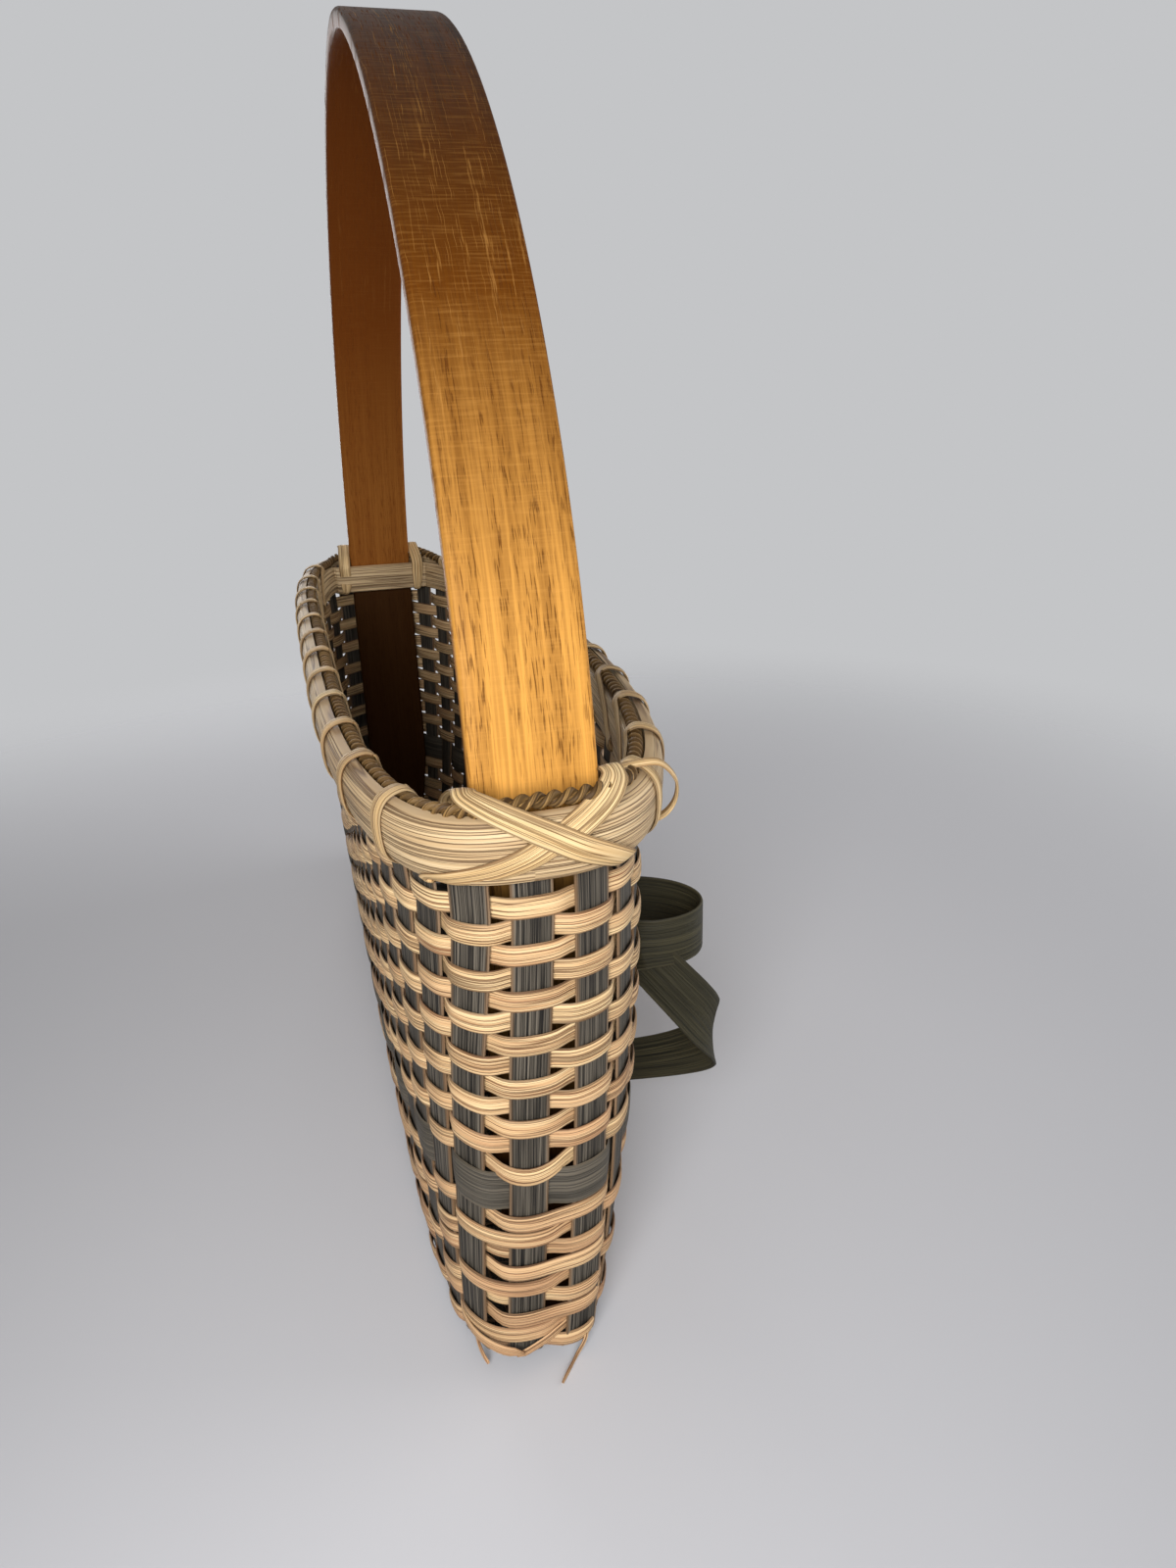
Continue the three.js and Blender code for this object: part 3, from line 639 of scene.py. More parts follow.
@dataclass
class Wall:
    """The stakes' middle surface. Stake ends are numbered from the near end's
    middle one along the front, and in between by parts."""

    mouth: Plan = Plan(186.5, 46.5, 37.5, 2.45, 3.6)
    drawn_in: Plan = Plan(8.0, 26.0, 8.4, -0.7, -1.9)
    leans_out: Plan = Plan(-0.5, 3.0, 3.0, 0.02, 0.1)
    mouth_height: float = 143.185
    rim_top: float = 169.0
    bend: float = 2.0
    base_shift: float = 7.5
    mouth_shift: float = 4.0
    half_steps: int = 800
    heights: tuple[float, ...] = (0, 8.8, 17.5, 26.3, 35.1, 47.6, 60.1, 72.6, 85.2, 104.5, 123.8, 143.185, 169)
    slip: Table = ((-6, 0), (-3, 1.8), (-2, 3.6), (-1, 5.4), (0, 3.2), (1, 1.2), (2, 0.5), (5, 0))
    slip_heights: Table = ((12, 1), (40, 1), (100, 0.75), (138, 0))
    probe: float = 0.05
    levels: list[tuple[np.ndarray, np.ndarray, float, float]] = field(default_factory=list)

    def __post_init__(self) -> None:
        """Draws the plan at each height."""
        self.levels = [self._level(z) for z in self.heights]

    def _level(self, z: float) -> tuple[np.ndarray, np.ndarray, float, float]:
        """Draws the plan at one height.

        Args:
            z: The height.

        Returns:
            The plan's points, their distance along it, the front's length and
            how far the stakes are shifted towards the back.
        """
        narrow = max(0.0, (self.mouth_height - z) / self.mouth_height) ** self.bend
        flare = min(1.0, max(0.0, (z - self.mouth_height) / (self.rim_top - self.mouth_height)))
        size = Plan(*(m - narrow * d + flare * o for m, d, o in zip(self.mouth, self.drawn_in, self.leans_out)))
        count = 2 * self.half_steps + 1
        angle = np.linspace(0, 2 * math.pi, count)
        first = np.arange(count) <= self.half_steps
        power = 2 / np.where(first, size.front_power, size.back_power)
        depth = np.where(first, size.front, size.back)
        c, s = np.cos(angle), np.sin(angle)
        x, y = -size.half_length * np.sign(c) * np.abs(c) ** power, -depth * np.sign(s) * np.abs(s) ** power
        points = np.stack([x, y], axis=-1)
        distance = run_length(points)
        shift = self.mouth_shift + (self.base_shift - self.mouth_shift) * narrow
        return points, distance, float(distance[self.half_steps]), shift

    def _on_level(self, k: np.ndarray, level: int) -> np.ndarray:
        """Finds stake places on one level's plan, slipped where the weaver let them.

        Args:
            k: Stake places.
            level: Which level.

        Returns:
            Their x and y.
        """
        points, distance, front, shift = self.levels[level]
        total = distance[-1]
        turn = np.mod(k, STAKE_ENDS)
        slip = look_up(np.where(turn > FAR_END, turn - STAKE_ENDS, turn), self.slip)
        slip = slip * float(look_up(self.heights[level], self.slip_heights))
        front_length = front + 2 * shift
        rest = front_length + (turn - FAR_END) / FAR_END * (total - front_length)
        along = np.where(turn <= FAR_END, turn / FAR_END * front_length, rest)
        return between(np.mod(along - shift - slip, total), distance, points)

    def point(self, k: object, z: object) -> np.ndarray:
        """Finds points of the wall.

        Args:
            k: Stake places.
            z: Heights.

        Returns:
            The points.
        """
        k, z = np.broadcast_arrays(np.asarray(k, float), np.asarray(z, float))
        heights = np.array(self.heights)
        lower = np.clip(np.searchsorted(heights, z, side="right") - 1, 0, len(heights) - 2)
        result = np.zeros((*k.shape, 3))
        for level in np.unique(lower):
            here = lower == level
            part = ((z[here] - heights[level]) / (heights[level + 1] - heights[level]))[:, None]
            flat = self._on_level(k[here], level) * (1 - part) + self._on_level(k[here], level + 1) * part
            result[here, :2] = flat
            result[here, 2] = z[here]
        return result

    def ways(self, k: object, z: object) -> Ways:
        """Finds points of the wall with its directions there.

        Args:
            k: Stake places.
            z: Heights.

        Returns:
            The points and directions.
        """
        k = np.atleast_1d(np.asarray(k, float))
        z = np.broadcast_to(np.asarray(z, float), k.shape)
        along = unit(self.point(k + self.probe, z) - self.point(k - self.probe, z))
        up = square_to(self.point(k, z + 1) - self.point(k, z - 1), along)
        return Ways(self.point(k, z), along, up, np.cross(along, up))


WALL = Wall()


# ---- laying strips -----------------------------------------------------------


class Label(NamedTuple):
    """A piece's name, finish and slot, and the solid that it stands for."""

    name: str
    kind: Reed | Varnish
    slot: str
    node: str = ""


@dataclass
class Workbench:
    """Lays strips and hands finished pieces to the scene."""

    seed: float = 0.0
    seed_step: float = 137.0
    merge: float = 0.000002
    smooth_angle: float = math.radians(48)

    def sheet(self, name: str, places: np.ndarray, paint: np.ndarray, closed: bool) -> bpy.types.Object:
        """Wraps a grid into a tube of sections.

        Args:
            name: The piece's name.
            places: Points of each section in millimetres: (stations, round, 3).
            paint: The distance along and across for each: (stations, round, 2).
            closed: Whether the last section meets the first.

        Returns:
            The piece.
        """
        stations = np.concatenate([places, places[:1]]) if closed else places
        grid = np.concatenate([stations, stations[:, :1]], axis=1)
        marks = np.concatenate([paint, paint[:, :1]], axis=1)
        rows, columns = grid.shape[:2]
        bpy.ops.object.select_all(action="DESELECT")
        bpy.ops.mesh.primitive_grid_add(x_subdivisions=columns - 1, y_subdivisions=rows - 1, size=1)
        made = bpy.context.object
        mesh = made.data
        made.name = mesh.name = name
        spots = grid.reshape(-1, 3) / 1000 + np.array([0, MIDDLE_Y, 0])
        mesh.vertices.foreach_set("co", spots.astype(np.float32).ravel())
        corners = np.zeros(len(mesh.loops), dtype=np.int32)
        mesh.loops.foreach_get("vertex_index", corners)
        flat = marks.reshape(-1, 2) / 1000
        mesh.uv_layers[0].data.foreach_set("uv", flat[corners].astype(np.float32).ravel())
        bpy.ops.object.mode_set(mode="EDIT")
        bpy.ops.mesh.select_all(action="SELECT")
        bpy.ops.mesh.remove_doubles(threshold=self.merge)
        if not closed:
            bpy.ops.mesh.select_all(action="DESELECT")
            bpy.ops.mesh.select_non_manifold()
            bpy.ops.mesh.fill_holes(sides=0)
        bpy.ops.mesh.select_all(action="SELECT")
        bpy.ops.mesh.normals_make_consistent(inside=False)
        bpy.ops.object.mode_set(mode="OBJECT")
        bpy.ops.object.shade_smooth_by_angle(angle=self.smooth_angle)
        return made

    def strip(
        self,
        label: Label,
        points: np.ndarray,
        across: np.ndarray,
        out: np.ndarray,
        shape: np.ndarray,
        closed: bool = False,
        widths: np.ndarray | None = None,
    ) -> None:
        """Lays a strip along a path and hands it over.

        Args:
            label: What the piece is.
            points: The path in millimetres.
            across: The direction of its width at each point.
            out: The direction of its crown at each point.
            shape: The section's points.
            closed: Whether it is a ring.
            widths: How wide it is at each point, as a part of the section.
        """
        broad = np.ones(len(points)) if widths is None else widths
        sides = across[:, None] * (shape[None, :, 0, None] * broad[:, None, None])
        places = points[:, None] + sides + out[:, None] * shape[None, :, 1, None]
        loop = np.concatenate([points, points[:1]]) if closed else points
        self.seed += self.seed_step
        paint = np.zeros((len(loop), len(shape), 2))
        paint[..., 0] = run_length(loop)[:, None] + self.seed
        paint[..., 1] = shape[None, :, 0]
        self.hand_over(self.sheet(label.name, places, paint, closed), label)

    def hand_over(self, piece: bpy.types.Object, label: Label) -> None:
        """Dresses a piece and fixes it to the basket.

        Args:
            piece: The piece.
            label: What it is.
        """
        piece.data.materials.clear()
        piece.data.materials.append(label.kind.build())
        if label.node:
            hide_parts(label.node)
        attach(piece, BODY)
        log.info("%s: %d faces", piece.name, len(piece.data.polygons))


# ---- weaving -----------------------------------------------------------------


@dataclass
class Weaving:
    """Rows of reed woven round the stakes, with one broad dyed band.

    A hump's three numbers are its height, its middle and its reach.
    """

    bench: Workbench
    reed_width: float = 5.7
    band_width: float = 12.6
    row_pitch: float = 6.03
    lowest: float = 7.0
    band_height: float = 64.54
    top_row: float = 146.2
    upper_rows: int = 13
    lower_rows: int = 9
    band_seed: int = 40
    lower_seed: int = 60
    swing: float = 1.35
    steps: int = 10
    snap: float = 1.6
    slack: float = 0.18
    dips: Table = ((0.9, 62, 24), (2.6, 73.8, 2))
    dip_reach: float = 0.55
    lift: tuple[float, float, float] = (1.6, -1.35, 0.85)
    sag: tuple[float, float, float] = (1.2, 0.1, 0.9)
    low_part: Table = ((75, 1), (135, 0))
    foot_part: Table = ((0, 0), (30, 1))
    waves: Table = ((0.35, 3, 0.03), (0.25, 11, 0.05))
    uneven_turns: tuple[int, ...] = (5, 9, 17, 23)
    uneven_height: float = 0.09
    uneven_width: float = 0.012
    any_angle: float = 6.3

    @staticmethod
    def plain(row: int) -> Callable[[int], bool]:
        """Plain weave: over every second stake, changing with each row."""
        return lambda k: (row + k) % 2 == 1

    @staticmethod
    def threes(row: int) -> Callable[[int], bool]:
        """Rows in threes, two of which go over the same stakes.

        Args:
            row: The row, counted down from the band.

        Returns:
            Whether it passes over a stake.
        """
        kind = row % 3

        def over(k: int) -> bool:
            """Tells whether the row is outside a stake."""
            odd = (k - 1 if k > FAR_END else k) % 2 == 1
            return kind != 2 if k % FAR_END == 0 else odd != (kind == 1)

        return over

    def wave(self, over: Callable[[int], bool]) -> tuple[np.ndarray, np.ndarray]:
        """Draws how far out a row lies round the basket.

        Args:
            over: Whether the row is outside a stake.

        Returns:
            Stake places and distances from the stakes' middle surface.
        """
        places, outs = [], []
        for number in range(STAKE_ENDS):
            k = (FAR_END + number) % STAKE_ENDS
            here = 1 if over(k) else -1
            there = 1 if over((k + 1) % STAKE_ENDS) else -1
            for step in range(self.steps):
                t = step / self.steps
                if here != there:
                    rise = here * math.tanh(self.snap * math.cos(math.pi * t)) / math.tanh(self.snap)
                else:
                    rise = here * (1 - self.slack * math.sin(math.pi * t) ** 2)
                places.append(FAR_END + number + t)
                outs.append(rise * self.swing)
        return np.array(places), np.array(outs)

    def row(self, label: Label, z: float, width: float, over: Callable[[int], bool], seed: int) -> None:
        """Weaves one row.

        Args:
            label: What the piece is.
            z: The height of its middle.
            width: Its width.
            over: Whether it passes over a stake.
            seed: What its small unevenness grows from.
        """
        places, outs = self.wave(over)
        rng = np.random.default_rng(seed)
        angle = places / STAKE_ENDS * 2 * math.pi
        near = np.where(places > FAR_END, places - STAKE_ENDS, places)
        sway = sum(size * np.sin(turns * angle + z * drift) for size, turns, drift in self.waves)
        dip = sum(size * hump(z, middle, reach) for size, middle, reach in self.dips)
        sway -= dip * hump(near, 0, self.dip_reach)
        lift, sag = (size * hump(near, middle, reach) for size, middle, reach in (self.lift, self.sag))
        sway += look_up(z, self.low_part) * (lift - sag * look_up(z, self.foot_part))
        broad = np.ones_like(places)
        for turns in self.uneven_turns:
            sway += rng.normal(0, self.uneven_height) * np.sin(turns * angle + rng.uniform(0, self.any_angle))
            broad += rng.normal(0, self.uneven_width) * np.sin(turns * angle + rng.uniform(0, self.any_angle))
        ways = WALL.ways(places, z + sway)
        points = ways.point + ways.out * outs[:, None]
        self.bench.strip(label, points, ways.up, ways.out, section(Cut.OVAL, width, REED_THICK), True, broad)

    def build(self) -> None:
        """Weaves every row from the top down."""
        for n in range(1, self.upper_rows + 1):
            label = Label(f"row_upper_{n}", NATURAL, "natural_reed", f"weaver_upper_{n}")
            self.row(label, self.top_row - (n - 1) * self.row_pitch, self.reed_width, self.plain(n), n)
        band = Label("dyed_band", OLIVE, "olive_reed", "band")
        self.row(band, self.band_height, self.band_width, self.plain(self.upper_rows + 1), self.band_seed)
        for n in range(self.lower_rows):
            label = Label(f"row_lower_{n + 1}", NATURAL, "natural_reed", f"weaver_lower_{n + 1}")
            z = self.lowest + (self.lower_rows - 1 - n) * self.row_pitch
            self.row(label, z, self.reed_width, self.threes(n), self.lower_seed + n)


# ---- stakes ------------------------------------------------------------------


@dataclass
class Stakes:
    """Dyed stakes that cross in the base and stand up in the wall."""

    bench: Workbench
    width: float = 10.0
    cross_count: int = 25
    base_pitch: float = 11.6
    base_middle: float = 7.5
    base_end: float = 164.0
    heights: tuple[float, ...] = (165.2, 143, 120, 100, 85, 68, 50, 35, 24, 14, 8, 4.5)
    bend_reach: float = 2.5
    layer: float = 1.65
    layer_step: float = 1.2
    step: float = 2.4
    rounding: float = 1.6

    def side(self, k: float, turn: float, z: float) -> tuple[list, list, list]:
        """Gives one end's stations from its top to the turn into the base.

        Args:
            k: The stake end.
            turn: 1 or -1, for which way its width faces.
            z: The height at which it lies in the base.

        Returns:
            Its points, width directions and crown directions.
        """
        ways = WALL.ways(np.full(len(self.heights), float(k)), np.array(self.heights))
        foot = WALL.ways([float(k)], 0.0)
        bend = foot.point[0] - unit(foot.out[0] * LEVEL) * self.bend_reach
        bend[2] = z
        return [*ways.point, bend], [*(ways.along * turn), foot.along[0] * turn], [*ways.out, -UP]

    def lay(self, name: str, node: str, ends: tuple[tuple, tuple], points: list, wide: np.ndarray) -> None:
        """Lays one stake down one side, through the base and up the other.

        Args:
            name: The piece's name.
            node: The solid that it stands for.
            ends: The stations of its two ends, each from the top down.
            points: Its points in the base.
            wide: The direction of its width there.
        """
        middle = points, [wide] * len(points), [-UP] * len(points)
        rows, across, out = (np.array([*a, *b, *c[::-1]]) for a, b, c in zip(ends[0], middle, ends[1]))
        path, where = rounded(rows, self.step, self.rounding)
        index = np.arange(len(rows))
        sides = unit(between(where, index, across))
        crown = square_to(between(where, index, out), sides)
        label = Label(name, DYED, "dyed_reed", node)
        self.bench.strip(label, path, sides, crown, section(Cut.FLAT, self.width, STAKE_THICK))

    def lengthwise(self, row: int, name: str) -> None:
        """Lays a stake along the base.

        Args:
            row: 1 at the front, 0 in the middle, -1 at the back.
            name: Which of the three it is.
        """
        y = self.base_middle - row * self.base_pitch
        points = [np.array([end * self.base_end, y, self.layer]) for end in (-1, 1)]
        ends = self.side(row % STAKE_ENDS, 1, self.layer), self.side(FAR_END - row, -1, self.layer)
        self.lay(f"stake_along_{name}", f"stake_length_{name}", ends, points, np.array([0, -1.0, 0]))

    def crosswise(self, number: int) -> None:
        """Lays a stake across the base, over and under the lengthwise ones.

        Args:
            number: Its number from the near end.
        """
        front_end = number + 1
        back_end = STAKE_ENDS - front_end
        front, back = WALL.point(front_end, 0.0), WALL.point(back_end, 0.0)
        points = []
        for row in (1, 0, -1):
            z = self.layer + (self.layer_step if (number + row) % 2 == 0 else -self.layer_step)
            for edge in (-1, 1):
                y = self.base_middle - row * self.base_pitch + edge * (self.width / 2 + GAP)
                x = front[0] + (back[0] - front[0]) * (y - front[1]) / (back[1] - front[1])
                points.append(np.array([x, y, z]))
        ends = self.side(front_end, 1, points[0][2]), self.side(back_end, -1, points[-1][2])
        self.lay(f"stake_across_{number}", f"stake_cross_{number}", ends, points, np.array([1.0, 0, 0]))

    def build(self) -> None:
        """Lays every stake."""
        for row, name in ((1, "front"), (0, "middle"), (-1, "back")):
            self.lengthwise(row, name)
        for number in range(1, self.cross_count + 1):
            self.crosswise(number)


# ---- handle ------------------------------------------------------------------


@dataclass
class Handle:
    """A bent hardwood hoop whose legs go down inside the weaving."""

    bench: Workbench
    width: float = 30.0
    thick: float = 5.4
    edge: float = 1.1
    arch_height: float = 211.1
    spring: float = 150.0
    power: float = 1.765
    tip_width: float = 18.0
    taper_height: float = 60.0
    leg_heights: tuple[float, ...] = (10, 22, 35.1, 47, 60, 72, 85.2, 101, 118, 134)
    arch_steps: int = 96
    seat: float = 1.85
    seat_places: tuple[float, float, float] = (-3, 3.01, 0.05)
    face_parts: tuple[float, ...] = (0.6, 0.2, -0.2, -0.6)

    def leg_face(self, z: float, half: float) -> float:
        """How far from the middle a leg's outer face may stand at a height.

        Args:
            z: The height.
            half: Half the leg's width there.

        Returns:
            The distance along X.
        """
        ways = WALL.ways(np.arange(*self.seat_places), z)
        seat = ways.point - ways.out * self.seat
        return float(np.min(-seat[np.abs(seat[:, 1]) <= half + GAP, 0]))

    @property
    def spring_half(self) -> float:
        """Half of the arch's span at its springing, on its middle line."""
        return self.leg_face(self.spring, self.width / 2) - self.thick / 2

    @property
    def rise(self) -> float:
        """How far the arch's middle line rises above its springing."""
        return self.arch_height - self.thick / 2

    def stations(self) -> np.ndarray:
        """Follows the hoop from the near leg's tip to the far one's.

        Returns:
            The x, z and half width of each section.
        """
        low = []
        tip = self.leg_heights[0]
        for z in self.leg_heights:
            taper = min(1.0, max(0.0, (z - tip) / (self.taper_height - tip)))
            half = (self.tip_width + (self.width - self.tip_width) * taper) / 2
            low.append((-(self.leg_face(z, half) - self.thick / 2), z, half))
        angle = np.linspace(0, math.pi, self.arch_steps + 1)
        c, s = np.cos(angle), np.clip(np.sin(angle), 0, 1)
        x = -self.spring_half * np.sign(c) * np.abs(c) ** (2 / self.power)
        arch = np.stack([x, self.spring + self.rise * s ** (2 / self.power), np.full_like(x, self.width / 2)], axis=-1)
        return np.array([*low, *arch, *((-x, z, half) for x, z, half in reversed(low))])

    def profile(self, half: float) -> list[tuple[float, float]]:
        """Draws the handle's section with rounded edges.

        Args:
            half: Half its width.

        Returns:
            Points across and out.
        """
        t, c = self.thick / 2, self.edge
        ring = []
        for sign_a, sign_o, start in ((1, 1, 90), (1, -1, 0), (-1, -1, -90), (-1, 1, 180)):
            for angle in (math.radians(start - turn) for turn in (0, 30, 60, 90)):
                ring.append((sign_a * (half - c) + c * math.cos(angle), sign_o * (t - c) + c * math.sin(angle)))
        lower = [(half * part, -t) for part in self.face_parts]
        return [*ring[:8], *lower, *ring[8:], *((a, t) for a, _ in reversed(lower))]

    def build(self) -> None:
        """Bends the hoop and marks its inner face."""
        rows = self.stations()
        places, paint = [], []
        length = 0.0
        for i, (x, z, half) in enumerate(rows):
            before, after = rows[max(0, i - 1)], rows[min(len(rows) - 1, i + 1)]
            out = unit(np.array([before[1] - after[1], 0, after[0] - before[0]]))
            ring = self.profile(half)
            places.append([np.array([x, a, z]) + out * o for a, o in ring])
            paint.append([(length, a) for a, _ in ring])
            length += float(np.linalg.norm(after[:2] - rows[i][:2]))
        made = self.bench.sheet("bent_handle", np.array(places), np.array(paint), False)
        layer = made.data.attributes.new("inside", "FLOAT", "POINT")
        span = self.spring_half
        for vertex in made.data.vertices:
            layer.data[vertex.index].value = self.inside(vertex.co, span)
        self.bench.hand_over(made, Label("bent_handle", OAK, "oak", "handle"))

    def inside(self, spot: Vector, span: float) -> float:
        """Tells the hoop's inner face from its outer one.

        Args:
            spot: A place on it in metres.
            span: Half of the arch's span.

        Returns:
            1 on the inner face, 0 on the outer one.
        """
        x, z = abs(spot.x) * 1000, spot.z * 1000
        if z <= self.spring:
            return float(x < span)
        return float((x / span) ** self.power + ((z - self.spring) / self.rise) ** self.power < 1)


# ---- rims --------------------------------------------------------------------


@dataclass
class Rims:
    """Two rims that clamp the stake tops, a rope between them and the lashing."""

    bench: Workbench
    top: float = 169.0
    height: float = 16.0
    thick: float = 5.2
    crown: float = 5.0
    steps: int = 336
    round_powers: Range = (0.8, 0.72)
    inner_height: float = 13.0
    inner_thick: float = 3.0
    inner_top: float = 165.5
    handle_inside: float = 172.75
    handle_half: float = 15.0
    handle_pass: float = 21.5
    rope_radius: float = 2.0
    ply_radius: float = 1.02
    ply_width: float = 2.346
    rope_turns: int = 118
    turn_steps: int = 12
    lash_width: float = 5.6
    lash_thick: float = 0.8
    loops: int = 12
    loop_steps: int = 5
    first_loop: float = 2.5

    @property
    def middle(self) -> float:
        """Height of the outer rim's middle."""
        return self.top - self.height / 2

    @property
    def foot(self) -> float:
        """Height of the outer rim's lower edge."""
        return self.top - self.height

    @property
    def face(self) -> float:
        """Where the outer rim's flat back lies."""
        return STAKE_THICK / 2 + GAP

    @property
    def reach(self) -> float:
        """Where the outer rim's crown lies."""
        return self.face + self.thick

    @property
    def rope_seat(self) -> float:
        """How far out the rope's middle lies."""
        return -(self.rope_radius + GAP - self.face)

    @property
    def rope_height(self) -> float:
        """Height of the rope's middle in its groove."""
        return self.inner_top + GAP + self.rope_radius

    @property
    def rope_lift(self) -> float:
        """How far the rope rises where it passes the handle."""
        return self.top + 3 * GAP + self.rope_radius - self.rope_height

    def ways(self, k: object) -> Ways:
        """The wall's directions where it carries the rims."""
        return WALL.ways(k, self.middle)

    def at(self, k: object, out: object, z: object) -> np.ndarray:
        """Finds points at stake places, distances out from the stakes and heights."""
        k = np.atleast_1d(np.asarray(k, float))
        return WALL.point(k, z) + self.ways(k).out * np.broadcast_to(out, k.shape)[:, None]

    def outer(self) -> None:
        """Lays the outer rim: half-round reed with its flat side on the stakes."""
        ways = self.ways(np.linspace(0, STAKE_ENDS, self.steps, endpoint=False))
        half = self.height / 2
        wide, deep = self.round_powers
        turn = np.linspace(-math.pi / 2, math.pi / 2, 13)
        crown = [
            (half * np.sign(math.sin(a)) * abs(math.sin(a)) ** wide, self.face + self.thick * abs(math.cos(a)) ** deep)
            for a in turn
        ]
        shape = np.array([*crown, (half / 2, self.face), (-half / 2, self.face)])
        self.bench.strip(Label("outer_rim", RIM, "rim_reed", "rim_outer"), ways.point, ways.up, ways.out, shape, True)

    def inner(self) -> None:
        """Lays the inner rim, which passes behind the handle at each end."""
        middle = self.inner_top - self.inner_height / 2
        seat = -(self.face + self.inner_thick / 2)
        inside = self.handle_inside - GAP - self.inner_thick / 2
        points, ups, outs = [], [], []
        for end, first, last in ((1, 2.5, FAR_END - 2.5), (-1, FAR_END + 2, STAKE_ENDS - 2)):
            for side in (1, 0.5, 0, -0.5, -1):
                points.append(np.array([-end * inside, side * end * self.handle_pass, middle]))
                ups.append(UP)
                outs.append(np.array([-end, 0, 0.0]))
            places = np.arange(first, last + 0.01, 0.5)
            ways = self.ways(places)
            points.extend(self.at(places, seat, middle))
            ups.extend(ways.up)
            outs.extend(ways.out)
        path, up, out = (through(np.array(rows), 3, True) for rows in (points, ups, outs))
        shape = section(Cut.FLAT, self.inner_height, self.inner_thick)
        self.bench.strip(Label("inner_rim", RIM, "rim_reed", "rim_inner"), path, unit(up), unit(out), shape, True)

    def rise(self, k: object) -> np.ndarray:
        """How far the rope and what crosses it is lifted beside the handle.

        Args:
            k: Stake places.

        Returns:
            The heights.
        """
        stations = np.arange(-1, STAKE_ENDS + 1)
        turn = stations % STAKE_ENDS
        from_end = np.minimum(np.minimum(turn, STAKE_ENDS - turn), np.abs(turn - FAR_END))
        at_handle = np.abs(WALL.point(stations, self.top)[:, 1]) < self.handle_half + 2
        passes = (from_end <= 1) & at_handle
        beside = (from_end <= 2) & (np.roll(passes, 1) | np.roll(passes, -1))
        level = np.where(passes, 1.0, np.where(beside, 0.5, 0.0))
        return np.interp(np.mod(k, STAKE_ENDS), stations, level) * self.rope_lift

    def rope(self) -> None:
        """Twists the two plies of the rope and lays them in the groove."""
        places = np.linspace(0, STAKE_ENDS, self.rope_turns * self.turn_steps, endpoint=False)
        lift = self.rise(places)
        shift = lift / self.rope_lift
        out = self.rope_seat * (1 - shift) + self.rope_radius * shift
        centre = self.at(places, out, self.rope_height + lift)
        travel = unit(np.roll(centre, -2, axis=0) - np.roll(centre, 2, axis=0))
        side = unit(np.cross(travel, UP))
        up = np.cross(side, travel)
        shape = section(Cut.ROUND, self.ply_width, self.ply_radius * 2)
        for ply in (0, 1):
            angle = places / STAKE_ENDS * self.rope_turns * 2 * math.pi + ply * math.pi
            arm = side * np.cos(angle)[:, None] + up * np.sin(angle)[:, None]
            path = centre + arm * (self.rope_radius - self.ply_radius)
            label = Label(f"rope_ply_{ply + 1}", SEAGRASS, "seagrass", "rim_rope")
            self.bench.strip(label, path, np.cross(travel, arm), arm, shape, True)

    def loop_way(self) -> list[tuple]:
        """Lists the places of one loop of the lashing.

        Returns:
            For each place how far ahead of the loop's gap it is, its distance
            out, height, crown out and up, width, and whether it is on the rope.
        """
        inner = self.face + GAP + self.inner_thick
        brow = self.crown + 0.4
        return [
            (-1.0, -inner, self.middle - 0.5, (-1, 0), 1.0, False),
            (-0.3, -inner, self.middle + 4.5, (-1, 0.1), 1.0, False),
            (0.0, -inner + 0.2, self.top - 0.6, (-1, 0.5), 1.0, True),
            (0.0, self.rope_seat + GAP, self.rope_height + self.rope_radius + 0.6, (-0.1, 1), 1.0, True),
            (0.0, 3.2, self.top + 0.6, (0.4, 1), 1.0, False),
            (0.0, self.reach - 0.25, self.middle + brow, (1, 0.5), 1.0, False),
            (0.0, self.reach + 0.5, self.middle, (1, 0), 1.0, False),
            (0.0, self.reach - 0.25, self.middle - brow, (1, -0.5), 0.95, False),
            (0.0, 2.6, self.foot - 0.5, (0.3, -1), 0.75, False),
            (0.0, -1.6, self.foot - 0.6, (-0.1, -1), 0.62, False),
            (0.0, -inner, self.foot + 0.2, (-0.7, -0.5), 0.75, False),
            (0.5, -inner, self.middle - 5.5, (-1, -0.1), 0.9, False),
        ]

    def lashing(self, side: str, first: float, step: int) -> None:
        """Winds one lashing along a side.

        Args:
            side: Front or back.
            first: The stake gap of its first loop.
            step: 2 or -2 stakes from loop to loop.
        """
        way = self.loop_way()
        points, sides, outs, broad = [], [], [], []
        for loop in range(self.loops):
            gap = first + loop * step
            for ahead, out, z, facing, width, on_rope in way[: -1 if loop == self.loops - 1 else None]:
                if loop == 0 and ahead < 0:
                    ahead = 0.15
                k = gap + ahead * step / 2
                ways = self.ways(k)
                lift = float(self.rise(k)) if on_rope else 0.0
                points.append(self.at(k, out, z + lift)[0])
                sides.append(ways.along[0])
                outs.append(unit(ways.out[0] * facing[0] + ways.up[0] * facing[1]))
                broad.append([width])
        path, side_way, out, widths = (
            through(np.array(rows), self.loop_steps) for rows in (points, sides, outs, broad)
        )
        across = square_to(side_way, headings(path))
        label = Label(f"lashing_{side}", LASH, "rim_reed", f"rim_lashing_{side}")
        shape = section(Cut.OVAL, self.lash_width, self.lash_thick)
        self.bench.strip(label, path, across, square_to(unit(out), across), shape, False, widths[:, 0])

    def build(self) -> None:
        """Lays the rims, then the rope, then the lashing."""
        self.outer()
        self.inner()
        self.rope()
        self.lashing("front", self.first_loop, 2)
        self.lashing("back", STAKE_ENDS - self.first_loop, -2)


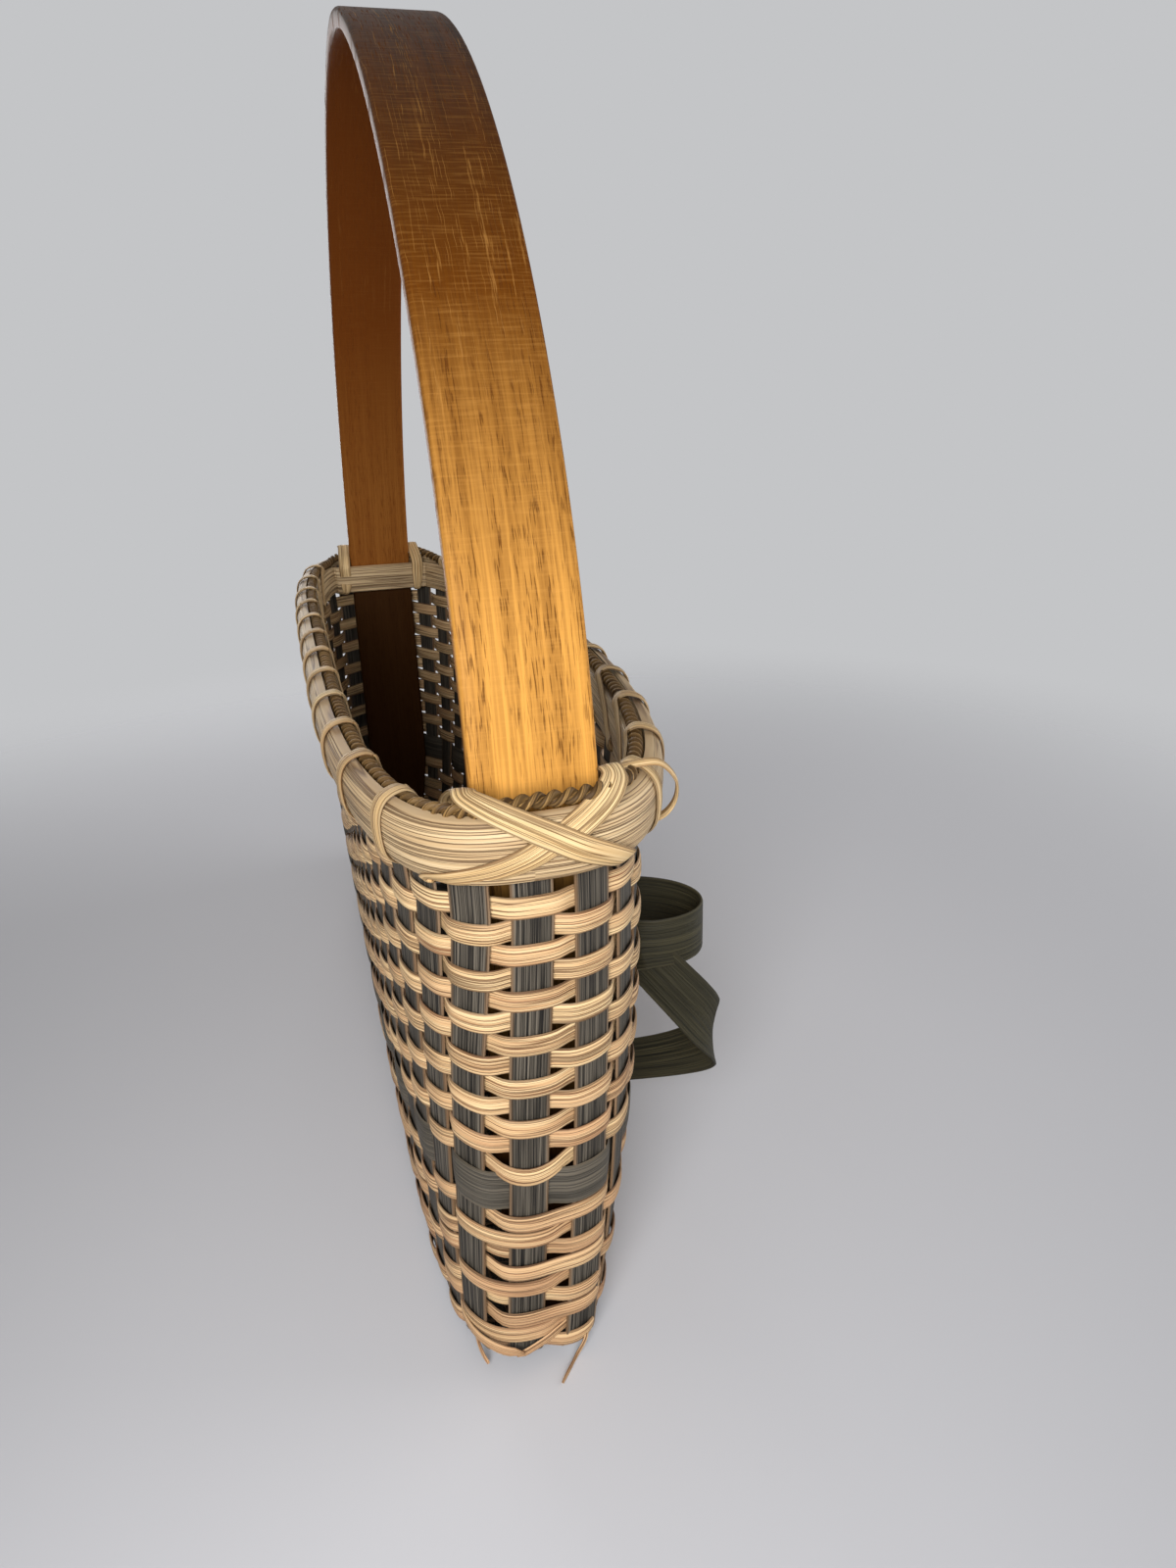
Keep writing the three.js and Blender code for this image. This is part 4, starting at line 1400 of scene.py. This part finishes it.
@dataclass
class Ties:
    """A crossed strip at each end that binds the handle into the rims.

    Each of its two crossings is a list of stations: the place across the
    basket, how far round the rims, and the part of the full width.
    """

    bench: Workbench
    rims: Rims
    near_places: tuple[float, float, float] = (-4, 4.01, 0.05)
    steps: int = 7
    lower: Table = (
        (23.8, 0, 0.5), (23.2, 0.6, 0.85), (19, 1.05, 1), (12.5, 1.4, 1.1), (6, 1.85, 1.1),
        (0, 2.4, 1.1), (-6, 3.05, 1.15), (-11.5, 3.85, 1.2), (-15.6, 4.7, 1.1),
    )
    upper: Table = (
        (-17, 0, 0.5), (-17.2, 0.5, 0.8), (-15.2, 0.95, 1), (-11, 1.45, 1.1), (-5.5, 2.05, 1.15),
        (0, 2.65, 1.15), (6, 3.25, 1.15), (11.5, 3.95, 1.1), (16.2, 4.8, 1.05),
    )
    lower_lift: float = 0.1
    upper_lift: float = 1.1
    upper_ends_lift: float = 0.3
    crossing: Range = (0.7, 4.5)
    over_rope: float = 5.8

    def spot(self, y: float, turn: float, lift: float, width: float = 1.0) -> tuple:
        """Gives a station of the tie on the outside of the rims.

        Args:
            y: The place across the basket.
            turn: How far round the rims, from 0 underneath to 6 on the rope.
            lift: How far it lies above the rims.
            width: Its part of the full width.

        Returns:
            Its point, crown direction and width.
        """
        rims = self.rims
        way = [
            (2.4, rims.foot - 0.5, 0.1, -1.0),
            (5.0, rims.foot + 2.4, 0.8, -0.6),
            (6.35, rims.middle, 1.0, 0.0),
            (5.3, rims.top - 2.6, 0.8, 0.6),
            (3.6, rims.top + 1.9, 0.65, 0.75),
            (1.2, rims.top + 5.3, 0.2, 1.0),
            (-3.2, rims.top + 5.0, -0.3, 1.0),
        ]
        out, z, facing_out, facing_up = between(turn, np.arange(len(way)), way)
        places = np.arange(*self.near_places)
        k = float(np.interp(-y, -rims.ways(places).point[:, 1], places))
        crown = unit(rims.ways(k).out[0] * facing_out + UP * facing_up)
        return rims.at(k, out, z)[0] + crown * lift, crown, width

    def within(self, y: float, z: float, up: float, width: float = 1.0) -> tuple:
        """Gives a station on the inner rim's face, as spot does."""
        inside = self.rims.handle_inside - 2 * GAP - self.rims.inner_thick
        return np.array([-inside, y, z]), unit(np.array([1.0, 0, up])), width

    def stations(self) -> list[tuple]:
        """Lists the places that the near tie passes.

        Returns:
            For each place its point, crown direction and width.
        """
        rims = self.rims
        side = rims.handle_half + 2 * GAP + rims.lash_width / 2
        tuck = rims.foot - 0.6
        first, last = self.crossing
        rows = [self.within(side, rims.foot + 4, 0), self.within(side + 1, tuck, -1, 0.6)]
        rows += [self.spot(y, turn, self.lower_lift, width) for y, turn, width in self.lower]
        for y in (-side, side):
            rows += [self.spot(y, self.over_rope, 0.0), self.within(y, rims.inner_top + 2, 0.5)]
            rows.append(self.within(y, rims.middle, 0))
            if y < 0:
                rows.append(self.within(y + 0.8, tuck, -1, 0.6))
                for place, turn, width in self.upper:
                    lift = self.upper_lift if first < turn < last else self.upper_ends_lift
                    rows.append(self.spot(place, turn, lift, width))
        return rows

    def build(self) -> None:
        """Winds the near tie and its mirror image at the far end."""
        points, crowns, broad = zip(*self.stations())
        path, crown = (through(np.array(rows), self.steps) for rows in (points, crowns))
        widths = through(np.array(broad)[:, None], self.steps)[:, 0]
        crown, run = unit(crown), headings(path)
        side = unit(np.cross(run, crown))
        untwist(side)
        out = unit(np.cross(side, run))
        out *= np.sign(np.sum(out * crown, axis=-1, keepdims=True))
        shape = section(Cut.OVAL, self.rims.lash_width, self.rims.lash_thick)
        for name, turn in (("near", np.ones(3)), ("far", np.array([-1.0, 1, 1]))):
            label = Label(f"tie_{name}", LASH, "rim_reed", f"handle_tie_{name}")
            self.bench.strip(label, path * turn, side * turn, out * turn, shape, False, widths)


# ---- loose ends --------------------------------------------------------------


@dataclass
class LooseEnds:
    """Ends that hand weaving leaves: tucked strips, splinters and a slack loop.

    Each strip has its name, its width, and its stations' stake place, height
    and distance out.
    """

    bench: Workbench
    rims: Rims
    thick: float = 0.7
    steps: int = 6
    tip: float = 0.25
    taper: float = 6.0
    lowest: float = 1.1
    loop_width: float = 2.6
    loop_steps: int = 7
    loop_middle: float = 2.7
    strips: tuple[tuple[str, float, Table], ...] = (
        ("tucked_end_right", 2.6, (
            (0.75, 11.6, -0.4), (0.55, 10.8, 0.8), (0.4, 9.8, 1.5), (0.2, 8.2, 1.8), (0, 6, 1.6), (-0.15, 4.8, 1.4),
        )),
        ("tucked_end_left", 3.8, (
            (-1.6, 12.6, 0.4), (-1.2, 12.2, 1.8), (-0.75, 11.4, 2.6), (-0.4, 9.6, 2.9), (-0.04, 6.9, 2.7),
        )),
        ("splinter_corner", 1.4, (
            (1.12, 7.4, 0.6), (1.06, 5.6, 1.8), (0.98, 3.6, 2.3), (0.86, 2, 3.4), (0.7, 1.7, 6.6), (0.52, 1.5, 9.9),
        )),
        ("splinter_left", 1.5, ((-1, 6.4, 0.2), (-0.84, 4.6, 1.2), (-0.7, 2.8, 1.9), (-0.58, 1.6, 2.6))),
    )

    def strip(self, name: str, width: float, rows: Table) -> None:
        """Lays a loose strip on the outside of the wall.

        Args:
            name: The piece's name.
            width: Its width.
            rows: Its stations.
        """
        table = np.array(rows, float)
        ways = WALL.ways(table[:, 0], np.clip(table[:, 1], self.lowest, None))
        points = WALL.point(table[:, 0], table[:, 1]) + ways.out * table[:, 2:3]
        path, out = through(points, self.steps), unit(through(ways.out, self.steps))
        travel = headings(path)
        side = unit(np.cross(travel, out))
        taper = np.minimum(1, self.tip + np.linspace(0, 1, len(path))[::-1] * self.taper)
        shape = section(Cut.OVAL, width, self.thick)
        self.bench.strip(
            Label(name, NATURAL, "natural_reed"), path, side, np.cross(side, travel), shape, False, taper
        )

    def slack_loop(self) -> None:
        """Lays the lashing's loose loop beside the near end."""
        rims = self.rims
        rows = [
            (2.25, -3.0, rims.rope_height + 2.6),
            (2.35, 1.5, rims.top + 2.6),
            (2.5, 6.0, rims.top + 2.4),
            (2.72, 9.4, rims.middle + 5.5),
            (2.92, 9.6, rims.middle - 1.0),
            (3.05, 7.0, rims.middle - 6.4),
            (3.1, 2.4, rims.foot - 1.2),
        ]
        path = through(np.array([rims.at(*row)[0] for row in rows]), self.loop_steps)
        travel = headings(path)
        centre = rims.at(self.loop_middle, 0.0, rims.middle)[0]
        side = unit(np.cross(travel, unit(path - centre)))
        shape = section(Cut.OVAL, self.loop_width, self.thick)
        self.bench.strip(Label("lash_slack_loop", LASH, "rim_reed"), path, side, np.cross(side, travel), shape)

    def build(self) -> None:
        """Lays every loose end."""
        for name, width, rows in self.strips:
            self.strip(name, width, rows)
        self.slack_loop()


# ---- bow ---------------------------------------------------------------------


class Loop(NamedTuple):
    """One loop of the bow: its roots in stakes and heights, reach and lean."""

    near: float
    far: float
    near_height: float
    far_height: float
    reach: float
    lean: float


@dataclass
class Bow:
    """Two loops of one dyed ribbon on the front wall."""

    bench: Workbench
    upper: Loop = Loop(5.25, 7.2, 97, 98, 21.7, 3)
    lower: Loop = Loop(5.45, 7.4, 95, 33, 29.7, 10)
    width: float = 16.0
    thick: float = 0.9
    run: float = 0.8
    on_wall: float = 2.3
    root_gap: float = 1.6
    droop: float = 1.6
    steps: int = 16
    step: float = 1.5
    rounding: float = 1.5

    def path(self, loop: Loop) -> np.ndarray:
        """Draws a loop from its near root to its far one.

        Args:
            loop: The loop.

        Returns:
            Its points.
        """
        part = np.linspace(0, 1, self.steps + 1)
        turn, swell = np.cos(math.pi * part), np.sin(math.pi * part)
        k = loop.near + (loop.far - loop.near) * (1 - turn) / 2
        ways = WALL.ways(k, loop.near_height + (loop.far_height - loop.near_height) * (1 - (1 - part) ** self.droop))
        stand = self.on_wall + self.root_gap + loop.reach * swell
        return ways.point - ways.along * (loop.lean * swell)[:, None] + unit(ways.out * LEVEL) * stand[:, None]

    def wall_end(self, loop: Loop, turn: float) -> tuple[np.ndarray, np.ndarray, np.ndarray]:
        """Lays the ribbon's end on the wall beyond a loop's far root, facing out or in."""
        ways = WALL.ways([loop.far + self.run, loop.far + self.run / 3], loop.far_height)
        return ways.point + ways.out * self.on_wall, ways.up, ways.out * turn

    def build(self) -> None:
        """Folds the ribbon into its two loops."""
        loops = np.concatenate([self.path(self.upper)[::-1], self.path(self.lower)])
        travel = headings(loops)
        out = unit(np.cross(UP, travel))
        middle = loops, np.cross(travel, out), out
        ends = self.wall_end(self.upper, 1), self.wall_end(self.lower, -1)
        points, sides, outs = (np.concatenate([a, b, c[::-1]]) for a, b, c in zip(ends[0], middle, ends[1]))
        untwist(sides, outs)
        path, where = rounded(points, self.step, self.rounding)
        index = np.arange(len(points))
        side = unit(between(where, index, sides))
        out = square_to(between(where, index, outs), side)
        label = Label("ribbon_bow", RIBBON, "dyed_reed", "front_bow")
        self.bench.strip(label, path, side, out, section(Cut.FLAT, self.width, self.thick))


# ---- studio ------------------------------------------------------------------


class Lamp(NamedTuple):
    """A soft lamp: its place and aim in millimetres, width in metres, power in
    watts, and how widely its light fans out in degrees."""

    name: str
    spot: tuple[float, float, float]
    aim: tuple[float, float, float]
    size: float
    watts: float
    spread: float = 180.0


@dataclass
class Studio:
    """Camera, soft lamps and pale paper."""

    eye: tuple[float, float, float] = (-401.5, 49.2, 260.2)
    right: tuple[float, float, float] = (-0.2736, -0.9615, -0.0247)
    down: tuple[float, float, float] = (-0.3416, 0.1212, -0.9320)
    forward: tuple[float, float, float] = (0.8991, -0.2466, -0.3616)
    focal: float = 24.95
    sensor: float = 36.0
    nearest: float = 0.01
    paper_radius: float = 2.4
    paper_colour: Colour = (198, 198, 202)
    paper_roughness: float = 0.9
    paper_shine: float = 0.1
    paper_fade: Range = (0.05, 0.45)
    room_colour: Colour = (196, 197, 199)
    room_light: float = 0.12
    lamps: tuple[Lamp, ...] = (
        Lamp("key", (-600, 150, 320), (-150, 0, 140), 0.3, 1.5, 100),
        Lamp("front_fill", (-60, -1000, 260), (0, 0, 120), 0.9, 6.5),
        Lamp("far_fill", (900, 120, 300), (100, 0, 140), 0.6, 4),
        Lamp("top", (500, 350, 1200), (0, 0, 100), 1.4, 2.2),
    )

    @staticmethod
    def place(spot: Sequence[float]) -> Vector:
        """Turns a place in millimetres into the scene's metres."""
        return Vector((spot[0] / 1000, spot[1] / 1000 + MIDDLE_Y, spot[2] / 1000))

    def camera(self) -> None:
        """Sets the camera where the photograph was taken."""
        bpy.ops.object.camera_add()
        camera = bpy.context.object
        camera.name = "photo_camera"
        turn = Matrix((self.right, -Vector(self.down), -Vector(self.forward))).transposed().to_4x4()
        camera.matrix_world = Matrix.Translation(self.place(self.eye)) @ turn
        camera.data.lens = self.focal
        camera.data.sensor_width = self.sensor
        camera.data.sensor_fit = "AUTO"
        camera.data.clip_start = self.nearest
        bpy.context.scene.camera = camera

    def hang(self, lamp: Lamp) -> None:
        """Hangs a soft lamp.

        Args:
            lamp: The lamp.
        """
        spot = self.place(lamp.spot)
        bpy.ops.object.light_add(type="AREA", location=spot)
        hung = bpy.context.object
        hung.name = lamp.name
        hung.data.energy = lamp.watts
        hung.data.size = lamp.size
        hung.data.spread = math.radians(lamp.spread)
        hung.visible_camera = False
        hung.rotation_euler = (spot - self.place(lamp.aim)).to_track_quat("Z", "Y").to_euler()

    def paper(self) -> None:
        """Lays a pale round sheet whose edge fades into the room."""
        bpy.ops.object.select_all(action="DESELECT")
        bpy.ops.mesh.primitive_circle_add(vertices=96, radius=self.paper_radius, fill_type="NGON", location=(0, 0, 0))
        floor = bpy.context.object
        floor.name = "studio_floor"
        finish = Finish("floor_paper")
        finish.feed(
            Base_Color=tone(self.paper_colour), Roughness=self.paper_roughness, Specular_IOR_Level=self.paper_shine
        )
        x, y, _ = finish.parts(finish.node("ShaderNodeTexCoord", {}, {}, "Object"))
        inputs = {"Value": x * x + y * y, "From Min": self.paper_fade[0], "From Max": self.paper_fade[1]}
        fade = finish.node("ShaderNodeMapRange", {"interpolation_type": "SMOOTHSTEP"}, inputs)
        clear = finish.node("ShaderNodeBsdfTransparent", {}, {})
        paper = Value(finish, finish.shader.outputs[0])
        finish.show(finish.node("ShaderNodeMixShader", {}, {0: fade, 1: paper, 2: clear}))
        floor.data.materials.append(finish.material)

    def world(self) -> None:
        """Fills the room with even light, and shows pale paper all round to the
        camera and to what shines or is clear."""
        world = bpy.data.worlds.new("room_light")
        bpy.context.scene.world = world
        world.use_nodes = True
        room = Nodes(world.node_tree, "ShaderNodeOutputWorld")
        kinds = ("Is Camera Ray", "Is Glossy Ray", "Is Transmission Ray")
        camera, glossy, clear = (room.node("ShaderNodeLightPath", {}, {}, kind) for kind in kinds)
        light = room.node("ShaderNodeBackground", {}, {"Color": (1.0, 1.0, 1.0, 1.0), "Strength": self.room_light})
        shown = room.node("ShaderNodeBackground", {}, {"Color": tone(self.room_colour)})
        room.show(room.node("ShaderNodeMixShader", {}, {0: camera + glossy + clear, 1: light, 2: shown}))

    def build(self) -> None:
        """Lays the paper, lights the room and hangs the lamps."""
        self.paper()
        self.world()
        for lamp in self.lamps:
            self.hang(lamp)
        bpy.context.scene.view_settings.view_transform = "Standard"


def main() -> None:
    """Makes the basket piece by piece and sets up the studio."""
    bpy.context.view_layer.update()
    bench = Workbench()
    studio = Studio()
    studio.camera()
    rims = Rims(bench)
    ends = Ties(bench, rims), LooseEnds(bench, rims)
    for assembly in (Stakes(bench), Weaving(bench), Handle(bench), rims, *ends, Bow(bench)):
        log.info("%s", type(assembly).__name__)
        assembly.build()
    studio.build()


if __name__ == "__main__":
    main()
